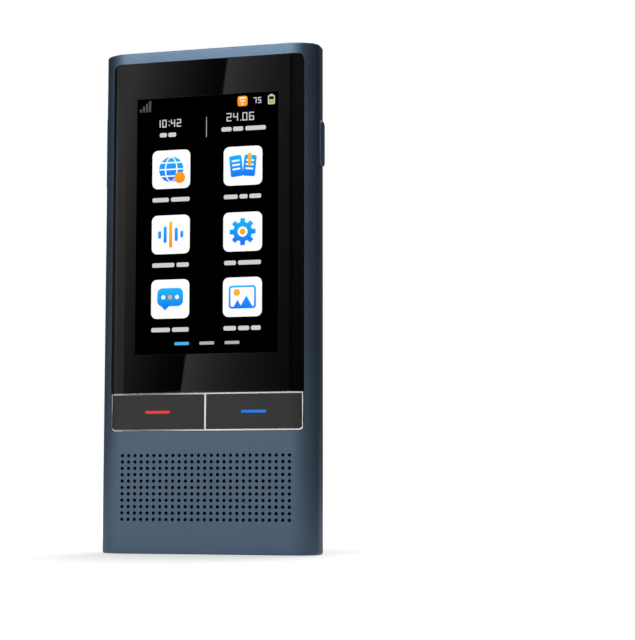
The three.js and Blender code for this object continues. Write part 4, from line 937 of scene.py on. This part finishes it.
tray = carve(tray, together([
    rounded_box(
        (tray_inner - side_rim - card_length, tray_inner - side_rim),
        (carrier_back - card_thickness, carrier_back + over),
        (carrier_low + side_rim, carrier_high - side_rim), "Y", card_radius,
    ),
    turned_post(
        pin_radius, -housing_half - over, -housing_half + tray_plate + over, "X", (0, tray_depth, pin_z),
    ),
]))
piece("card_carrier", tray, blue_lacquer, ["card_tray"], "tray", edge=0.06)

# Camera window
# A bright bezel stands a little proud of the back and holds a black glass. In the glass a round
# lens of coated glass looks out of a stepped black cup.
bezel_line, bezel_rounding, bezel_clearance = 0.55, 0.15, 0.02
window_front, window_back = 13.73, 14.63
cup_radius, cup_step, cup_inner, cup_depth, cup_flare = 2.15, 0.12, 1.35, 0.55, 0.5
lens_radius, lens_flatness, lens_sink = 1.1, 0.28, 0.5


def bezel_block(inset, near, far):
    """A block with the bezel's outline, less an inset."""
    heights = bezel_low + inset, bezel_high - inset
    return rounded_box(bezel_half - inset, (near, far), heights, "Y", bezel_radius - inset, segments=10)


bezel = bezel_block(0, bezel_floor + bezel_clearance, bezel_face)
rims = [e for e in bezel.edges if all(v.co.y > (bezel_face + front_y - hair) * MM for v in e.verts)]
rounded(bezel, rims, bezel_rounding)
bezel = carve(bezel, bezel_block(bezel_line, bezel_floor - over, bezel_face + over))
piece("bright_bezel", bezel, bright_trim, ["camera_bezel"], edge=0.04)
window = carve(
    bezel_block(bezel_line + fit_gap / 2, window_front, window_back),
    round_post(cup_radius, 0, camera_z, window_back - cup_step, window_back + over, sides=48),
    round_post(
        cup_inner, 0, camera_z, window_back - cup_depth, window_back + cup_flare, cup_radius + cup_flare,
        sides=48,
    ),
)
piece("window_glass", window, black_glass, ["camera_glass"], edge=0.04)
lens_material, lens_tree, lens_shader = new_material(
    "coated lens", Roughness=0.06, Coat_Weight=1.0, Coat_Roughness=0.02, Metallic=0.5,
)
lens_centre = Vector((0, window_back + front_y, camera_z)) * MM
lens_away = distance(maths("SUBTRACT", object_place(lens_tree), lens_centre, kind="VectorMath"))
# The lens's own deep blue is painted in rings: a brighter ring and a dark rim are painted sheen and shade.
lens_painted_sheen = node(lens_tree, "ValToRGB", {"Fac": remap(lens_away, 0, lens_radius * MM, 0, 1)})
lens_painted_sheen.color_ramp.elements[0].color = srgb(20, 34, 92)
lens_painted_sheen.color_ramp.elements[1].color = srgb(8, 8, 16)
lens_painted_sheen.color_ramp.elements.new(0.55).color = srgb(42, 60, 150)
feed(lens_shader.inputs["Base Color"], lens_painted_sheen.outputs["Color"])
lens = bmesh.new()
bmesh.ops.create_uvsphere(lens, u_segments=40, v_segments=20, radius=lens_radius * MM)
bmesh.ops.scale(lens, verts=lens.verts, vec=(1, lens_flatness, 1))
bmesh.ops.translate(lens, verts=lens.verts, vec=lens_centre - Vector((0, lens_sink, 0)) * MM)
piece("lens_dome", lens, lens_material)

# Flash
# A clear button with fine rings lies flush in the back beside the window, over a lamp with a
# yellow phosphor in a pale reflector cup.
flash_face, button_thickness = housing_depth, 0.5
ring_depth, ring_width, ring_radii = 0.08, 0.1, (1.5, 1.2, 0.9, 0.6)
cup_back, cup_gap, cup_floor, cup_floor_radius, cup_mouth = 1.5, 0.02, 1.3, 0.95, 0.4
chip_size, chip_thickness, chip_radius = 1.3, 0.3, 0.12
clear_plastic, clear_tree, clear_shader = new_material(
    "clear lens plastic", Transmission_Weight=1.0, IOR=1.49,
)
clear_noise = noise(object_place(clear_tree), 1500)
dress(clear_shader, (1, 1, 0.97, 1), remap(clear_noise, 0, 1, 0.03, 0.12), clear_noise, 0.004)


def lamp_post(radius, depth, top=0.0, top_radius=None, sides=40):
    """A round post, or a cone, on the lamp's axis, between two depths under the flash's face."""
    return round_post(radius, flash_x, camera_z, flash_face - depth, flash_face - top, top_radius, sides)


button = lamp_post(flash_radius, button_thickness, sides=48)
for radius in ring_radii:
    button = carve(button, carve(
        lamp_post(radius, ring_depth, -over), lamp_post(radius - ring_width, over, -2 * over),
    ))
piece("flash_button", button, clear_plastic, ["flash_lens"])
cup_white = grained(
    "pale reflector", ((214, 212, 204), (230, 228, 222)), (9000, 300), (0.25, 0.35), 0.001, Metallic=0.3,
)
cup = carve(
    lamp_post(flash_radius, cup_back, button_thickness + cup_gap),
    lamp_post(cup_floor_radius, cup_floor, cup_mouth, flash_radius),
)
piece("flash_cup", cup, cup_white)
phosphor = grained("yellow phosphor", ((236, 212, 62), (250, 232, 104)), (12000, 900), (0.5, 0.65), 0.004)
chip = rounded_box(
    around(flash_x, chip_size), (flash_face - cup_floor, flash_face - cup_floor + chip_thickness),
    around(camera_z, chip_size), "Y", chip_radius,
)
piece("flash_chip", chip, phosphor)

# Charging socket
# A drawn metal shell with round ends is soldered to the lower board and looks out of the foot. In
# it a black tongue carries a row of contacts on both faces.
socket_length, socket_skin, socket_setback, socket_floor, socket_ease = 7.3, 0.3, 0.2, 0.8, 0.01
tongue_half, tongue_thickness, tongue_front, tongue_radius = 3.35, 0.7, 1.0, 0.3
contact_count, contact_pitch, contact_width, contact_rise = 12, 0.5, 0.26, 0.06
contact_ends = 1.3, 5.4
sheet_metal = brushed(
    "stamped sheet metal", ((168, 170, 172), (186, 188, 190)), (400, 6000, 6000), (0.3, 0.45), 0.001,
)
black_moulding = grained(
    "black moulded plastic", ((22, 22, 23), (30, 30, 32)), (5000, 120), (0.5, 0.65), 0.003,
)
shell = carve(
    rounded_box(
        socket_half, around(socket_depth, 2 * socket_rise), (socket_setback, socket_setback + socket_length),
        "Z", socket_rise - socket_ease, segments=8,
    ),
    rounded_box(
        socket_half - socket_skin, around(socket_depth, 2 * (socket_rise - socket_skin)),
        (-over, socket_length - socket_floor), "Z", socket_rise - socket_skin - socket_ease, segments=8,
    ),
)
piece("socket_shell", shell, sheet_metal, ["charging_socket"], edge=0.05)
tongue = rounded_box(
    tongue_half, around(socket_depth, tongue_thickness), (tongue_front, socket_length - socket_floor), "Y",
    tongue_radius,
)
piece("socket_tongue", tongue, black_moulding)
contact_gold = brushed(
    "gold contacts", ((206, 168, 92), (222, 186, 112)), (6000, 6000, 400), (0.2, 0.32), 0.0005,
)
contacts = [
    box_form(
        around((i - (contact_count - 1) / 2) * contact_pitch, contact_width), around(face, contact_rise),
        contact_ends,
    )
    for i in range(contact_count) for face in around(socket_depth, tongue_thickness)
]
piece("socket_contacts", together(contacts), contact_gold)

# Inner parts
# Boards, shields, battery, cables, foams and screws keep the frame's own solids, each with the
# finish of its kind: green boards with traces, stamped metal, wrapped cell, amber film, black foam.
board_green, board_tree, board_shader = new_material("green board", Coat_Weight=0.4, Coat_Roughness=0.2)
board_turn = node(board_tree, "Mapping", {
    "Vector": object_place(board_tree), "Rotation": (math.pi / 2, 0, 0),
})
board_traces = node(board_tree, "TexBrick", {
    "Vector": board_turn.outputs["Vector"], "Scale": 420, "Mortar Size": 0.03,
    "Color1": srgb(14, 70, 44), "Color2": srgb(18, 82, 52), "Mortar": srgb(40, 112, 70),
})
board_colour, board_line = board_traces.outputs["Color"], board_traces.outputs["Fac"]
dress(board_shader, board_colour, remap(board_line, 0, 1, 0.45, 0.3), board_line, 0.02)
finishes = {
    board_green: ["main_board", "lower_board", "key_board", "power_switch_board", "volume_switch_board"],
    sheet_metal: ["middle_frame", "radio_shield", "processor_shield", "vibration_motor", "card_reader"],
    black_moulding: [
        "loudspeaker", "power_switch", "volume_up_switch", "volume_down_switch", "aerial_carrier",
    ],
    phosphor: ["flash_lamp"],
    brushed(
        "snap steel", ((176, 176, 174), (194, 194, 192)), (5000, 5000, 900), (0.22, 0.34), 0.0005,
    ): ["left_key_dome", "right_key_dome", "bottom_microphone", "top_microphone"],
    brushed(
        "dark screw steel", ((86, 88, 92), (104, 106, 110)), (5000, 800, 5000), (0.3, 0.42), 0.001,
    ): [name for name in nodes if "_screw_" in name],
    grained(
        "black foam", ((20, 20, 21), (34, 34, 36)), (3500, 900), (0.85, 0.98), 0.02,
    ): ["glass_gasket", "display_cushion", "speaker_gasket"],
    grained(
        "amber film cable", ((150, 84, 24), (172, 100, 34)), (2500, 200), (0.3, 0.42), 0.001,
    ): ["display_flex", "link_flex"],
    grained(
        "cell wrap", ((128, 132, 138), (142, 146, 152)), (1800, 60), (0.34, 0.46), 0.003, Metallic=0.4,
    ): ["battery"],
    grained(
        "display panel", ((40, 42, 46), (50, 52, 56)), (2600, 90), (0.3, 0.4), 0.0006, Metallic=0.3,
    ): ["display_panel"],
    grained(
        "camera barrel black", ((14, 14, 15), (22, 22, 24)), (5200, 300), (0.4, 0.55), 0.002,
    ): ["camera_module"],
    grained(
        "inner lens", ((20, 26, 54), (30, 38, 70)), (6000, 500), (0.04, 0.08), 0.0001, Coat_Weight=1.0,
    ): ["camera_lens"],
}
for finish, names in finishes.items():
    for name in names:
        for i in range(len(nodes[name].data.materials)):
            nodes[name].data.materials[i] = finish

# Table
# The device stands on a plain white table that keeps the lamps' soft shadow. Near the device the
# table's own glow is weaker, a painted shade round its foot; away from the device the table turns
# as white as the room behind it. The finishes mirror that white only from a strip of the table near
# the device.
shadow_start, shadow_reach, shadow_white = 0.02, 0.11, 0.52
strip_x, strip_half, strip_end, strip_rest = -0.06, 0.06, 0.18, 0.04
strip_near, strip_far = 0.4, 0.8


def band(value, centre, inner, outer, level=1.0, rest=0.0):
    """A level that holds about a centre, out to inner, and fades to a rest at outer."""
    return remap(maths("ABSOLUTE", maths("SUBTRACT", value, centre)), inner, outer, level, rest)


def product(first, *others):
    """Several values multiplied."""
    for other in others:
        first = maths("MULTIPLY", first, other)
    return first


def ray_kinds(tree):
    """Whether a ray is the camera's own or came through clear plastic, and whether it is mirrored."""
    rays = node(tree, "LightPath").outputs
    return maths("MAXIMUM", rays["Is Camera Ray"], rays["Is Transmission Ray"]), rays["Is Glossy Ray"]


table_form = bmesh.new()
bmesh.ops.create_grid(table_form, x_segments=1, y_segments=1, size=8)
table_mesh = bpy.data.meshes.new("table")
table_form.to_mesh(table_mesh)
table_form.free()
table = bpy.data.objects.new("table", table_mesh)
scene.collection.objects.link(table)
table_white, table_tree, table_shader = new_material(
    "white table", Base_Color=(0.35, 0.35, 0.35, 1), Roughness=0.9, Specular_IOR_Level=0.1,
)
table_place = object_place(table_tree)
table_away = distance(table_place)
table_x = node(table_tree, "SeparateXYZ", {0: table_place}).outputs["X"]
table_seen, table_mirrored = ray_kinds(table_tree)
table_strip = product(
    remap(table_away, strip_near, strip_far, 1, 0),
    band(table_x, strip_x, strip_half, strip_end, rest=strip_rest), table_mirrored,
)
# The glow is weaker close to the device: a painted shade round its foot, added to the real shadow.
table_glow = node(table_tree, "Emission", {
    "Strength": remap(table_away, shadow_start, shadow_reach, shadow_white, 1),
})
table_sum = node(table_tree, "AddShader", {0: table_shader.outputs[0], 1: table_glow.outputs[0]})
table_choice = node(table_tree, "MixShader", {
    0: maths("MAXIMUM", table_seen, table_strip), 1: table_shader.outputs[0], 2: table_sum.outputs[0],
})
feed(table_tree.nodes["Material Output"].inputs["Surface"], table_choice.outputs[0])
table_mesh.materials.append(table_white)

# Room
# The camera sees a white room. What the finishes mirror is a dim studio: in front two tall soft
# panels, which the black glass shows as two fading bands with a slanted edge, and a low bright sill
# that lights the key trim; overhead a bright ceiling, and a lighter part behind.
panel_slant, panel_edge = 0.1412, -0.3688
left_foot, left_rise, left_most = -0.362, 11.8, 0.7
right_level, right_fall = 0.76, 0.0285
ceiling_level, behind_level, dim_level, sill_level = 0.9, 1.0, 0.13, 1.4
room_light_level = 0.12
front_fade, panel_foot, panel_top, panel_left = (-0.3, -0.1), (0.05, 0.27), (0.3, 0.6), (-1.32, -1.28)
strip_across, strip_level = (-1.22, 0.04, 0.08), 1.6
dim_left, dim_behind, dim_low = (-0.28, -0.03), (0, 0.3), (0.04, 0.24)
sill_across, sill_up = (0.0525, 0.3975, 0.4275), (0.0415, 0.0123, 0.0127)
ceiling_up, ceiling_across = (0.3, 0.6), (-0.3, 0.2, 0.55)
behind_back, behind_across = (0, 0.3), (-0.14, 0.12, 0.3)
room_world = bpy.data.worlds.new("room")
scene.world = room_world
room_world.use_nodes = True
room_tree = room_world.node_tree
room_place = node(room_tree, "TexCoord").outputs["Generated"]
across_x, across_y, across_z = node(room_tree, "SeparateXYZ", {0: room_place}).outputs
ahead = maths("MAXIMUM", maths("MULTIPLY", across_y, -1), 0.05)
sideways = maths("DIVIDE", across_x, ahead)
upwards = maths("DIVIDE", across_z, ahead)
in_front = remap(across_y, *front_fade, 1, 0)

# The two panels, in how far sideways and upwards of straight ahead they lie
slanted = maths("SUBTRACT", sideways, maths("MULTIPLY", upwards, panel_slant))
left_share = maths("MULTIPLY", maths("SUBTRACT", left_foot, slanted), left_rise)
left_panel = maths("MINIMUM", maths("POWER", maths("MAXIMUM", left_share, 0), 2), left_most)
right_share = maths("DIVIDE", maths("SUBTRACT", panel_edge, slanted), right_fall)
right_panel = maths("MULTIPLY", maths("EXPONENT", right_share), right_level)
beyond_edge = maths("GREATER_THAN", slanted, panel_edge)
panels = maths("ADD", maths("MULTIPLY", right_panel, beyond_edge), product(
    left_panel, remap(upwards, *panel_foot, 0.66, 1), maths("SUBTRACT", 1, beyond_edge),
))
panels = product(
    panels, band(sideways, *strip_across, strip_level, 1), remap(sideways, *panel_left, 0.3, 1),
    remap(upwards, *panel_top, 1, 0), in_front,
)

# The dim room round them, the sill, the ceiling and the part behind
dim_room = product(
    remap(across_x, *dim_left, 0.15 * dim_level, dim_level), remap(across_y, *dim_behind, 1, 0.15),
    remap(across_z, *dim_low, 0.2, 1),
)
sill = product(band(sideways, *sill_across, sill_level), band(across_z, *sill_up), in_front)
ceiling = product(remap(across_z, *ceiling_up, 0, ceiling_level), band(across_x, *ceiling_across, rest=0.15))
behind = product(remap(across_y, *behind_back, 0, behind_level), band(across_x, *behind_across, rest=0.05))
studio = maths("ADD", dim_room, panels)
for other in (sill, ceiling, behind):
    studio = maths("MAXIMUM", studio, other)
studio_level = node(room_tree, "Background", {"Color": white, "Strength": studio})
seen_level = node(room_tree, "Background", {"Color": white, "Strength": 1.0})
light_level = room_tree.nodes["Background"]
light_level.inputs["Color"].default_value = white
light_level.inputs["Strength"].default_value = room_light_level
room_seen, room_mirrored = ray_kinds(room_tree)
unseen = node(
    room_tree, "MixShader", {0: room_mirrored, 1: light_level.outputs[0], 2: studio_level.outputs[0]},
)
room_choice = node(room_tree, "MixShader", {0: room_seen, 1: unseen.outputs[0], 2: seen_level.outputs[0]})
feed(room_tree.nodes["World Output"].inputs["Surface"], room_choice.outputs[0])


def soft_lamp(name, place, width, height, power):
    """A soft rectangular lamp that faces the middle of the device; places in metres."""
    data = bpy.data.lights.new(name, "AREA")
    data.shape = "RECTANGLE"
    data.size, data.size_y = width, height
    data.energy = power
    lamp = bpy.data.objects.new(name, data)
    lamp.location = place
    aim = Vector((0, 0, 0.07)) - Vector(place)
    lamp.rotation_euler = aim.to_track_quat("-Z", "Y").to_euler()
    scene.collection.objects.link(lamp)


soft_lamp("front lamp", (-0.16, -0.5, 0.41), 0.34, 0.26, 1.8)
soft_lamp("rear lamp", (0.06, 0.4, 0.56), 0.34, 0.26, 2.0)
soft_lamp("high lamp", (0, 0.1, 0.8), 0.4, 0.5, 3.0)
